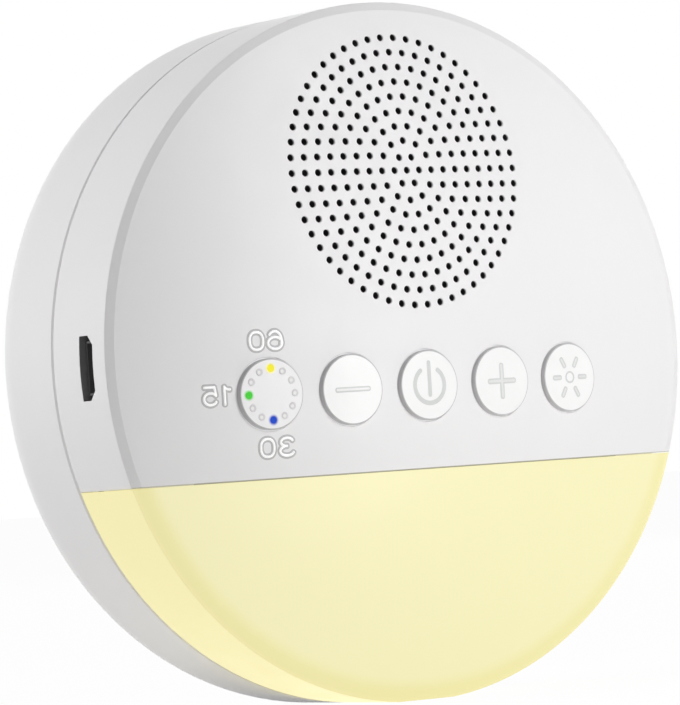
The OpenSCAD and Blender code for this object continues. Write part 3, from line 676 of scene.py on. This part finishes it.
# painted shade: the grey of the gap round each unlit timer window
window_gap_shade = moulded("window grey", srgb(230, 227, 230), 0.5, **FINE)
dark_plastic = moulded("dark plastic", srgb(38, 38, 40), 0.45, grain=2600.0, depth=8e-6,
                       clouds=0.15)
plug_ivory = moulded("plug ivory", srgb(233, 226, 205), 0.4)
lamp_resin = moulded("lamp resin", srgb(238, 214, 96), 0.2, grain=5000.0, depth=2e-6)
wire_red = moulded("wire insulation", srgb(176, 30, 28), 0.35, grain=2500.0, depth=4e-6)
steel = metal("zinc steel", srgb(186, 188, 190), srgb(120, 116, 108), 0.28)
socket_steel = metal("socket steel", srgb(84, 84, 86), srgb(44, 42, 40), 0.35)
# painted light: a faint white glow on the socket's steel and the dark plastic, which lifts
# them out of their shade
for dark in (socket_steel, dark_plastic):
    glow(dark, WHITE, DARK_LEVEL)
copper = metal("copper", srgb(214, 132, 84), srgb(120, 66, 40), 0.3, 1e-5)
cell_foil = metal("cell foil", srgb(176, 190, 214), srgb(120, 130, 150), 0.38, 2e-5)
ferrite = celled("ferrite", srgb(52, 52, 54), 4000.0, 0.3, 0.6, 1e-5)
cone_paper = celled("cone paper", srgb(44, 44, 46), 1500.0, 0.35, 0.85, 3e-5)
soft_rubber = celled("soft rubber", srgb(26, 26, 27), 5000.0, 0.2, 0.55, 6e-6)
foam = celled("foam", srgb(60, 60, 62), 1400.0, 0.7, 0.95, 2e-4)
spider_cloth = celled("spider cloth", srgb(206, 160, 84), 2200.0, 0.45, 0.9, 5e-5)
board_green = board("main board lacquer", srgb(12, 74, 44), srgb(24, 102, 60))
board_white = board("light board lacquer", srgb(236, 236, 230), srgb(226, 226, 220))
black_cloth = finish("acoustic cloth", WEAVE, 6e-5,
                     dict(Under=srgb(12, 12, 13), Over=srgb(34, 34, 36), Threads=13000.0),
                     Roughness=0.9)

# The CAD nodes that stay, by the material that each gets
KEPT = (
    (board_green, "main_board"),
    (board_white, "light_board"),
    (dark_plastic, "board_chips switch_bodies usb_tongue timer_plunger minus_plunger "
                   "power_plunger plus_plunger light_plunger"),
    (plug_ivory, "wire_connectors"),
    (lamp_resin, "timer_leds night_leds"),
    (foam, "speaker_gasket battery_pad"),
    (steel, "speaker_basket speaker_top_plate speaker_yoke"),
    (soft_rubber, "speaker_surround"),
    (cone_paper, "speaker_cone speaker_dust_cap"),
    (copper, "speaker_voice_coil speaker_terminals"),
    (spider_cloth, "speaker_spider"),
    (ferrite, "speaker_magnet"),
    (rear_white, "speaker_retainer"),
    (cell_foil, "battery_cell"),
    (wire_red, "battery_leads speaker_leads light_leads"),
    (socket_steel, "usb_socket"),
)


def finish_kept_nodes():
    """Puts each kept node's material into its slots."""
    for material, names in KEPT:
        for name in names.split():
            for place in frame["nodes"][name].material_slots:
                place.material = material


# ---------------------------------------------------------------- shapes


def on_face(u, v, lift=0.0):
    """Points on the dome, raised by lift: the depth of a sphere of radius R + lift whose
    centre lies on the disc's axis, DOME_DEPTH behind the rim. In metres."""
    u, v, lift = np.broadcast_arrays(u, v, lift)
    depth = DOME_DEPTH - np.sqrt((DOME_R + lift) ** 2 - u**2 - v**2)
    return np.stack(in_frame(u, v, depth), axis=-1)


def grid_faces(rows, cols, loop_rows):
    """Quads of a grid whose columns close on themselves, and its rows too if asked."""
    i = np.arange(rows if loop_rows else rows - 1)[:, None]
    j = np.arange(cols)[None, :]
    i1, j1 = (i + 1) % rows, (j + 1) % cols
    return np.stack([i * cols + j, i * cols + j1, i1 * cols + j1, i1 * cols + j],
                    axis=-1).reshape(-1, 4)


def arc(u, v, ru, rv, start, end, count=25):
    """An open stroke along an ellipse about (u, v), from one angle to another in degrees."""
    a = np.radians(np.linspace(start, end, count))
    return np.stack([u + ru * np.cos(a), v + rv * np.sin(a)], axis=1), False


def loop(u, v, ru, rv, count=40, power=2.0):
    """A closed stroke along a superellipse."""
    a = np.radians(np.arange(count) * 360 / count)
    c, s = np.cos(a), np.sin(a)
    return np.stack([u + ru * np.sign(c) * np.abs(c) ** (2 / power),
                     v + rv * np.sign(s) * np.abs(s) ** (2 / power)], axis=1), True


def bar(u0, v0, u1, v1, count=5):
    """An open straight stroke."""
    return np.stack([np.linspace(u0, u1, count), np.linspace(v0, v1, count)], axis=1), False


def moved(stroke, u, v, side=1):
    """A stroke moved by (u, v), after it is turned as in a mirror if side is -1."""
    line, closed = stroke
    return line * (side, 1) + (u, v), closed


def bead(stroke, width, height, lift=0.0, sink=0.03):
    """A rounded bead carried along a stroke on the dome. Its section is the upper half of a
    superellipse of power 3 with a flat base, and at a free end it shrinks as a quarter
    circle. Returns points and quads."""
    line, closed = stroke
    grow = np.ones(len(line))
    if closed:
        along = np.roll(line, -1, 0) - np.roll(line, 1, 0)
    else:
        along = np.gradient(line, axis=0)
        turn = np.radians([22.5, 45, 67.5, 90])
        step = along / np.linalg.norm(along, axis=1)[:, None]
        tail = line[-1] + np.outer(np.sin(turn), step[-1]) * width / 2
        head = line[0] - np.outer(np.sin(turn[::-1]), step[0]) * width / 2
        line = np.concatenate([head, line, tail])
        along = np.concatenate([np.repeat(step[:1], 4, 0), step, np.repeat(step[-1:], 4, 0)])
        grow = np.concatenate([np.cos(turn[::-1]), grow, np.cos(turn)])
    along = along / np.linalg.norm(along, axis=1)[:, None]
    side = np.stack([-along[:, 1], along[:, 0]], axis=1)
    t = np.radians(np.linspace(0, 180, 9))
    across = np.sign(np.cos(t)) * np.abs(np.cos(t)) ** (2 / 3) * width / 2
    up = np.abs(np.sin(t)) ** (2 / 3) * (height + sink)
    place = line[:, None, :] + side[:, None, :] * (across[None, :] * grow[:, None])[..., None]
    raised = lift - sink + up[None, :] * grow[:, None]
    points = on_face(place[..., 0], place[..., 1], raised).reshape(-1, 3)
    return points, grid_faces(len(line), len(t), closed)


def add_piece(name, mesh, material, body):
    """A mesh as a piece of the object in one material, riding on a body."""
    mesh.materials.append(material)
    piece = bpy.data.objects.new(name, mesh)
    bpy.context.scene.collection.objects.link(piece)
    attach(piece, body)
    return piece


def new_piece(name, parts, material, body):
    """One closed piece, smooth up to 50 degrees, of several point and face arrays."""
    points, faces, first = [], [], 0
    for p, f in parts:
        points.append(p)
        faces.append(f + first)
        first += len(p)
    mesh = bpy.data.meshes.new(name)
    mesh.from_pydata(np.concatenate(points).tolist(), [], np.concatenate(faces).tolist())
    work = bmesh.new()
    work.from_mesh(mesh)
    bmesh.ops.remove_doubles(work, verts=work.verts, dist=1e-8)
    bmesh.ops.dissolve_degenerate(work, edges=work.edges, dist=1e-9)
    bmesh.ops.recalc_face_normals(work, faces=work.faces)
    work.to_mesh(mesh)
    work.free()
    mesh.shade_smooth()
    mesh.set_sharp_from_angle(angle=np.radians(50))
    return add_piece(name, mesh, material, body)


# Thickness of a printed line, a symbol's core and a raised number
PRINT_T, CORE_T, NUMBER_T = 0.02, 0.05, 0.1
# Strokes of the digits, each about its own middle, and half their width and height
NUMBER_W, NUMBER_H = 1.04, 1.23
DIGITS = {
    "0": [loop(0, 0, NUMBER_W, NUMBER_H, power=2.4)],
    "1": [bar(0.43, NUMBER_H, 0.43, -NUMBER_H), arc(-0.43, NUMBER_H, 0.86, 0.42, 0, -90, 9)],
    "3": [arc(0.05, 0.66, 0.95, 0.57, 160, -90), arc(0.05, -0.56, 1.09, 0.67, 90, -158)],
    "5": [bar(-0.71, NUMBER_H, 0.82, NUMBER_H), bar(-0.71, NUMBER_H, -0.88, 0.12),
          arc(-0.05, -0.4, 0.98, 0.83, 148, -150)],
    "6": [loop(0, -0.4, 1.1, 0.83), arc(0, 0, NUMBER_W, NUMBER_H, 40, 205)],
}
# Each number's middle, and the pitch of its two digits
NUMBERS = {"60": (-26.1, 2.3, 2.9), "15": (-33.85, -5.0, 2.65), "30": (-25.2, -12.6, 3.1)}


def number_marks():
    """The timer's numbers round its button: white raised strokes with a painted glow, in a
    fine grey outline of painted shade.
    """
    strokes = [moved(moved(stroke, (k - 0.5) * pitch, 0), u, v, NUMBER_SIDE)
               for text, (u, v, pitch) in NUMBERS.items()
               for k, digit in enumerate(text) for stroke in DIGITS[digit]]
    for name, width, height, material in (("number_outlines", 1.0, PRINT_T, mark_outline_shade),
                                          ("numbers", 0.35, NUMBER_T, mark_white)):
        new_piece(name, [bead(stroke, width, height) for stroke in strokes], material,
                  "housing")


def symbol(name, strokes, width, core_width=None, core=None):
    """A button's grey symbol: strokes of one width, and in them a narrower core if it has a
    width and a material."""
    placed = [moved(stroke, button_u(name), ROW_V) for stroke in strokes]
    layers = [("_symbol", width, PRINT_T, symbol_grey)]
    if core_width:
        layers.append(("_symbol_core", core_width, CORE_T, core))
    for ending, across, height, material in layers:
        new_piece(name + ending,
                  [bead(stroke, across, height, BUTTON_PROUD) for stroke in placed], material,
                  name + "_button")


def symbols():
    """The symbols on the four plain caps."""
    symbol("minus", [bar(-2.6, 0, 2.6, 0)], 0.82, 0.36, button_white)
    symbol("power", [arc(0, 0, 2.55, 2.55, 125, 415, 61), bar(0, 3.2, 0, -1.4)], 0.72)
    symbol("plus", [bar(-2.25, 0, 2.25, 0), bar(0, -2.25, 0, 2.25)], 0.9, 0.4, symbol_pale)
    a = np.radians(np.arange(0, 360, 60))
    symbol("light", [bar(1.9 * c, 1.9 * s, 3.0 * c, 3.0 * s)
                     for c, s in zip(np.cos(a), np.sin(a))], 0.84, 0.3, symbol_pale)
    ring = bead(loop(button_u("light"), ROW_V, 0.75, 0.75), 0.3, PRINT_T, BUTTON_PROUD)
    new_piece("light_symbol_ring", [ring], symbol_grey, "light_button")


def window_rims():
    """A fine grey edge round each unlit timer window: painted shade of the gap between the
    window and the cap.
    """
    rims = [bead(loop(*window_place(angle), 0.36, 0.36, 24), 0.26, PRINT_T, BUTTON_PROUD)
            for angle in WINDOW_ANGLES if angle not in LIT]
    new_piece("window_rims", rims, window_gap_shade, "timer_button")


# ---------------------------------------------------------------- screws

# Shares of a pan head's height: how far its crown, its edge and its recess go down
CROWN_DROP, EDGE_DROP, RECESS_DROP = 0.45, 0.55, 0.5
# Shares of its radius: half the width and the reach of the recess's arms, and the slopes there
ARM_HALF, ARM_REACH, HALF_SLOPE, REACH_SLOPE = 0.17, 0.62, 0.06, 0.1
HEAD_ROWS = np.array([0, 0.08, 0.16, 0.24, 0.32, 0.4, 0.48, 0.56, 0.64, 0.75, 0.88, 0.96])


def pan_screw(u, v, back, seat, tip, head_r, core_r, thread_r, pitch):
    """A screw driven towards the face, as one closed surface over rows and angles.

    Head: depth back - 0.45 h (r/R)^3 over its crown, less a cross-shaped recess whose arms
    are bands of |x| and |y|. Shank: radius core + rise x (1 - |2 t - 1|) with
    t = depth / pitch - angle / 360, which winds a ridge round it, and a cone at the tip.
    """
    h = back - seat
    angles = 36
    a = np.radians(np.arange(angles) * 360 / angles)[None, :]
    share = HEAD_ROWS[:, None]
    r = share * head_r + 0 * a
    x, y = np.abs(r * np.cos(a)), np.abs(r * np.sin(a))
    across, along = np.minimum(x, y), np.maximum(x, y)
    recess = (np.clip((ARM_HALF * head_r - across) / (HALF_SLOPE * head_r), 0, 1)
              * np.clip((ARM_REACH * head_r - along) / (REACH_SLOPE * head_r), 0, 1))
    depth = back - CROWN_DROP * h * share**3 - RECESS_DROP * h * recess
    rim_r = np.array([head_r, head_r, thread_r])[:, None] + 0 * a
    rim_depth = np.array([back - EDGE_DROP * h, seat, seat])[:, None] + 0 * a
    steps = np.arange(seat, tip + 0.9, -pitch / 6)[:, None] + 0 * a
    t = np.mod(steps / pitch - a / (2 * np.pi), 1)
    shank_r = core_r + (thread_r - core_r) * (1 - np.abs(2 * t - 1))
    end_r = np.array([0.4 * core_r, 0])[:, None] + 0 * a
    end_depth = np.array([tip + 0.05, tip])[:, None] + 0 * a
    r = np.concatenate([r, rim_r, shank_r, end_r])
    depth = np.concatenate([depth, rim_depth, steps, end_depth])
    points = np.stack(in_frame(u + r * np.cos(a), v + r * np.sin(a), depth), axis=-1)
    return points.reshape(-1, 3), grid_faces(len(r), angles, False)


# Each set: its axes, back of head, seat, tip, head and core radius, thread radius, pitch
SCREWS = {
    "housing_screws": ([(33.705, 16.439), (-33.705, 16.439), (-36.047, -10.336),
                        (36.047, -10.336)], 23.5, 21.6, 14.0, 2.5, 1.05, 1.3, 0.9),
    "board_screws": ([(-19.5, -12.3), (-19.5, 0.2), (19.5, -12.3), (19.5, 0.2)],
                     9.1, 7.8, 2.2, 1.8, 0.7, 0.9, 0.7),
    "speaker_screws": ([(23.116, 33.914), (-23.116, 33.914), (-23.116, 17.086),
                        (23.116, 17.086)], 7.5, 6.2, 0.8, 1.8, 0.7, 0.9, 0.7),
    "light_board_screws": ([(-20.0, -18.8), (20.0, -18.8), (26.239, -34.82),
                            (-26.239, -34.82)], 13.5, 12.2, 7.0, 1.6, 0.7, 0.9, 0.7),
}


def screws():
    """The four sets of pan-head screws."""
    for node, (axes, *sizes) in SCREWS.items():
        piece = new_piece(node.replace("screws", "pan_screws"),
                          [pan_screw(u, v, *sizes) for u, v in axes], steel, "housing")
        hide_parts(node)


# ---------------------------------------------------------------- rounded mouldings

# How near a point is to a rim that it belongs to, and the flat ring round each rounding
ON_RIM = 0.03
RING_W = 0.03
# The dome's evenly set points: the pitch of their rows and their room to the outline, as
# shares of their spacing
ROW_SHARE = 0.866
ROOM_SHARE = 0.3
# Half the curve of the parabola into which they are bent while they are joined
BEND = 1e-3
# Edges that turn by more degrees than these are sharp: any edge, and the line between the
# dome and the bevel where it is to stay crisp
SHARP = 33
CRISP = 10


def values_of(items, name, kind, width=1):
    """One property of a mesh's parts, as an array with a row for each part."""
    values = np.zeros(len(items) * width, kind)
    items.foreach_get(name, values)
    return values.reshape(-1, width) if width > 1 else values


def edge_angles(mesh):
    """Angle in degrees between the two faces at each edge, 0 where there aren't two."""
    edges = values_of(mesh.loops, "edge_index", int)
    normals = values_of(mesh.polygons, "normal", float, 3)
    sizes = values_of(mesh.polygons, "loop_total", int)
    face_of = np.repeat(np.arange(len(sizes)), sizes)
    order = np.argsort(edges, kind="stable")
    counts = np.bincount(edges, minlength=len(mesh.edges))
    first = np.concatenate([[0], np.cumsum(counts)[:-1]])
    two = counts == 2
    angles = np.zeros(len(mesh.edges))
    a, b = face_of[order[first[two]]], face_of[order[first[two] + 1]]
    angles[two] = np.degrees(np.arccos(np.clip((normals[a] * normals[b]).sum(1), -1, 1)))
    return angles


def near_dome(u, v, depth, lift=0.0):
    """Whether a point lies on the dome raised by lift."""
    return np.abs(np.sqrt(u**2 + v**2 + (depth - DOME_DEPTH) ** 2) - DOME_R - lift) < 0.01


def merged_copy(node):
    """The corners and triangles of a CAD node with its doubles merged."""
    work = bmesh.new()
    work.from_mesh(frame["nodes"][node].data)
    bmesh.ops.remove_doubles(work, verts=work.verts, dist=2e-7)
    bmesh.ops.triangulate(work, faces=work.faces)
    mesh = bpy.data.meshes.new("merged")
    work.to_mesh(mesh)
    work.free()
    points = values_of(mesh.vertices, "co", float, 3)
    corners = values_of(mesh.loops, "vertex_index", int)
    bpy.data.meshes.remove(mesh)
    return points, corners.reshape(-1, 3)


def sides_of(tris):
    """The directed sides of triangles: all first sides, then all second, then all third."""
    return np.concatenate([tris[:, [0, 1]], tris[:, [1, 2]], tris[:, [2, 0]]])


def codes(sides, count):
    """One number for each directed side between two of count points."""
    return sides[:, 0] * count + sides[:, 1]


def inside(tris, outline, count):
    """Which triangles lie within a directed outline: those that hold one of its sides the
    right way round, and all that are reached from them without crossing it."""
    sides = sides_of(tris)
    owner = np.tile(np.arange(len(tris)), 3)
    code, back = codes(sides, count), codes(sides[:, ::-1], count)
    wall = codes(outline, count)
    within = np.zeros(len(tris), bool)
    within[owner[np.isin(code, wall)]] = True
    order = np.argsort(code)
    at = np.minimum(np.searchsorted(code[order], back), len(code) - 1)
    shared = (code[order[at]] == back) & ~np.isin(code, wall) & ~np.isin(back, wall)
    one, other = owner[shared], owner[order[at]][shared]
    reached = 0
    while reached < within.sum():
        reached = within.sum()
        within[other[within[one]]] = True
    return within


def even_points(edge, spacing):
    """Points in even staggered rows over an outline's reach, clear of its own points."""
    low, high = edge.min(0), edge.max(0)
    u, v = np.meshgrid(np.arange(low[0], high[0], spacing),
                       np.arange(low[1], high[1], spacing * ROW_SHARE))
    u = u + (np.arange(u.shape[0]) % 2)[:, None] * spacing / 2
    inner = np.stack([u.ravel(), v.ravel()], axis=1)
    clear = np.ones(len(inner), bool)
    for chunk in np.array_split(edge, max(1, len(edge) // 400)):
        away = np.linalg.norm(inner[:, None] - chunk[None], axis=2).min(1)
        clear &= away > spacing * ROOM_SHARE
    return inner[clear]


def joined(flat, outline):
    """Triangles between flat points within a directed outline. The points are bent a little
    into a parabola meanwhile, so that none of the outline is straight, which would leave
    slits there."""
    bent = flat + np.stack([0 * flat[:, 0], BEND * flat[:, 0] ** 2], axis=1)
    made = delaunay_2d_cdt([Vector(p) for p in bent], outline.tolist(), [], 0, 1e-7, True)
    source = np.array([old[0] if old else -1 for old in made[3]])
    tris = source[np.array(made[2])]
    tris = tris[(tris >= 0).all(1)]
    return tris[inside(tris, outline, len(flat))]


def reskin(points, tris, lift, rims, spacing, steps):
    """Makes the domed skin of a moulding anew, with rounded rims.

    The triangles that lie on the dome are taken away. Each of their outline's points that
    lies on a rim, a circle (u, v, radius, rounding), goes down by the rounding, and a quarter
    circle in these steps leads from it onto the dome, away from the hole or in from the edge
    of a cap (a negative rounding). The rest of the dome is filled with triangles of about one
    size.
    """
    u, v, depth = on_disc(points)
    on = near_dome(u, v, depth, lift)
    one, two, three = (points[tris[:, k]] for k in range(3))
    faced = np.cross(two - one, three - one)
    skin = on[tris].all(1) & (np.abs(faced[:, 1]) > 0.7 * np.linalg.norm(faced, axis=1))
    sides = sides_of(tris[skin])
    lone = ~np.isin(codes(sides, len(points)), codes(sides[:, ::-1], len(points)))
    outline = sides[lone]
    ring = np.unique(outline)
    flat = np.stack([u[ring], v[ring]], axis=1)
    rim = np.full(len(ring), -1)
    if len(rims):
        away = np.linalg.norm(flat[:, None, :] - rims[None, :, :2], axis=2)
        nearest = np.abs(away - rims[None, :, 2]).argmin(1)
        hit = np.abs(away[np.arange(len(ring)), nearest] - rims[nearest, 2]) < ON_RIM
        rim[hit] = nearest[hit]
    # each rim's points in rows: down the quarter circle, and one more on the dome round it
    turned = np.flatnonzero(rim >= 0)
    centre, radius, soft = rims[rim[turned], :2], rims[rim[turned], 2:3], rims[rim[turned], 3:]
    out = flat[turned] - centre
    out /= np.linalg.norm(out, axis=1)[:, None]
    t = np.radians(np.linspace(0, 90, steps + 1))
    grow = np.concatenate([soft * (1 - np.cos(t)), soft + RING_W * np.sign(soft)], axis=1)
    drop = np.concatenate([np.abs(soft) * (1 - np.sin(t)), 0 * soft], axis=1)
    at = centre[:, None, :] + out[:, None, :] * (radius + grow)[..., None]
    rows = on_face(at[..., 0], at[..., 1], lift - drop)
    # the outline's own points are the first row, and the others follow as new points
    points = points.copy()
    points[ring[turned]] = rows[:, 0]
    more = rows.shape[1] - 1
    index = np.repeat(ring[:, None], more + 1, axis=1)
    index[turned, 1:] = len(points) + np.arange(len(turned) * more).reshape(-1, more)
    points = np.concatenate([points, rows[:, 1:].reshape(-1, 3)])
    where = np.searchsorted(ring, outline)
    same = (rim[where[:, 0]] >= 0) & (rim[where[:, 0]] == rim[where[:, 1]])
    a, b = index[where[same, 0]], index[where[same, 1]]
    strips = np.stack([a[:, :-1], b[:, :-1], b[:, 1:], a[:, 1:]], axis=-1).reshape(-1, 4)
    # the skin's inner outline, and evenly set points inside it
    edge = flat.copy()
    edge[turned] = at[:, -1]
    inner = even_points(edge, spacing)
    home = np.concatenate([index[:, -1], len(points) + np.arange(len(inner))])
    points = np.concatenate([points, on_face(inner[:, 0], inner[:, 1], lift)])
    return points, [tris[~skin], strips, home[joined(np.concatenate([edge, inner]), where)]]


def used_only(points, faces):
    """Leaves out the points that no face uses."""
    used = np.unique(np.concatenate([part.ravel() for part in faces]))
    return points[used], [np.searchsorted(used, part) for part in faces]


def moulding(node, name, material, lift=None, rims=(), spacing=1.5, steps=4,
             widths=None, crisp=False):
    """A copy of a moulded node: its domed skin is made anew if lift is given, and the sharp
    edges to which widths gives a width in mm, from their ends' u, v and depth, are rounded.
    A crisp moulding keeps the line where the dome meets the rim's bevel."""
    source = frame["nodes"][node]
    points, tris = merged_copy(node)
    faces = [tris]
    if lift is not None:
        rims = np.array(rims, float).reshape(-1, 4)
        points, faces = used_only(*reskin(points, tris, lift, rims, spacing, steps))
    mesh = bpy.data.meshes.new(name)
    mesh.from_pydata(points.tolist(), [], [f for part in faces for f in part.tolist()])
    mesh.update()
    ends = values_of(mesh.edges, "vertices", int, 2)
    u, v, depth = on_disc(values_of(mesh.vertices, "co", float, 3))
    turn = edge_angles(mesh)
    sharp = turn > SHARP
    creased = sharp.copy()
    if crisp:
        rim = near_dome(u, v, depth) & (np.abs(np.hypot(u, v) - DOME_EDGE_R) < 0.02)
        creased |= (turn > CRISP) & rim[ends].all(1)
    mesh.shade_smooth()
    crease = mesh.attributes.new("sharp_edge", "BOOLEAN", "EDGE")
    crease.data.foreach_set("value", creased)
    piece = add_piece(name, mesh, material, source["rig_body"])
    if widths:
        width = widths(u, v, depth)[ends].min(1)
        most = float(width.max())
        weight = mesh.attributes.new("bevel_weight_edge", "FLOAT", "EDGE")
        weight.data.foreach_set("value", np.where(sharp, width / most, 0).astype(np.float32))
        bevel = piece.modifiers.new("rounding", "BEVEL")
        bevel.limit_method = "WEIGHT"
        bevel.width = most * MM
        bevel.segments = 2
        bevel.use_clamp_overlap = False
        bevel.harden_normals = True
    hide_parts(node)


def front_widths(u, v, depth):
    """Roundings of the rim's outer edge and of the side wall's other edges."""
    wall = np.abs(np.hypot(u, v) - DISC_R) < 0.01
    return np.where(wall & (np.abs(depth) < 0.02), EDGE_ROUND, np.where(wall, SEAM_ROUND, 0.0))


def rear_widths(u, v, depth):
    """Roundings of the wells' rims and of the seam."""
    back = np.abs(depth - FRONT_DEPTH - REAR_DEPTH) < 0.02
    wall = np.abs(np.hypot(u, v) - DISC_R) < 0.02
    return np.where(back, EDGE_ROUND, np.where(wall, SEAM_ROUND, 0.0))


def sound_holes():
    """Rims of the grille's holes: one in the middle, and 6 k on ring k."""
    rims = [(0.0, GRILLE_V, HOLE_R, HOLE_ROUND)]
    for k in range(1, HOLE_RINGS + 1):
        a = np.radians(np.arange(6 * k) * 60 / k)
        rims += [(k * HOLE_PITCH * c, GRILLE_V + k * HOLE_PITCH * s, HOLE_R, HOLE_ROUND)
                 for c, s in zip(np.cos(a), np.sin(a))]
    return rims


def mouldings():
    """The shells, the caps and the timer's windows."""
    rims = sound_holes() + [(button_u(name), ROW_V, BUTTON_R + BUTTON_GAP, BUTTON_HOLE_ROUND)
                            for name in BUTTONS]
    moulding("front_housing", "front_shell", housing_white, 0.0, rims,
             steps=2, widths=front_widths, crisp=True)
    moulding("light_diffuser", "lens_shell", lens_cream, 0.0, spacing=2.5,
             widths=front_widths)
    moulding("rear_housing", "rear_shell", rear_white, widths=rear_widths)
    for name in BUTTONS:
        rims = [(button_u(name), ROW_V, BUTTON_R, -CAP_ROUND)]
        if name == "timer":
            rims += [(*window_place(a), WINDOW_R, WINDOW_ROUND) for a in WINDOW_ANGLES]
        moulding(name + "_button", name + "_cap",
                 timer_white if name == "timer" else button_white,
                 BUTTON_PROUD, rims, spacing=0.7)
    moulding("timer_light_guide", "timer_windows", guide_clear)


def speaker_cloth():
    """The cloth behind the holes: a disc of the dome's own curve, rings of points from the
    grille's centre out, with a front and a back."""
    rings, spokes = 24, 96
    r = np.linspace(0, CLOTH_R, rings)[:, None]
    a = np.radians(np.arange(spokes) * 360 / spokes)[None, :]
    u, v = r * np.cos(a), GRILLE_V + r * np.sin(a)
    layers = on_face(u, v, -CLOTH_BACK), on_face(u, v, -CLOTH_BACK - CLOTH_T)[::-1]
    points = np.concatenate(layers).reshape(-1, 3)
    piece = new_piece("speaker_cloth", [(points, grid_faces(2 * rings, spokes, False))],
                      black_cloth, "housing")
    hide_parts("dust_cloth")


set_camera()
studio()
finish_kept_nodes()
mouldings()
speaker_cloth()
screws()
number_marks()
symbols()
window_rims()

bpy.context.scene.view_settings.view_transform = "Standard"
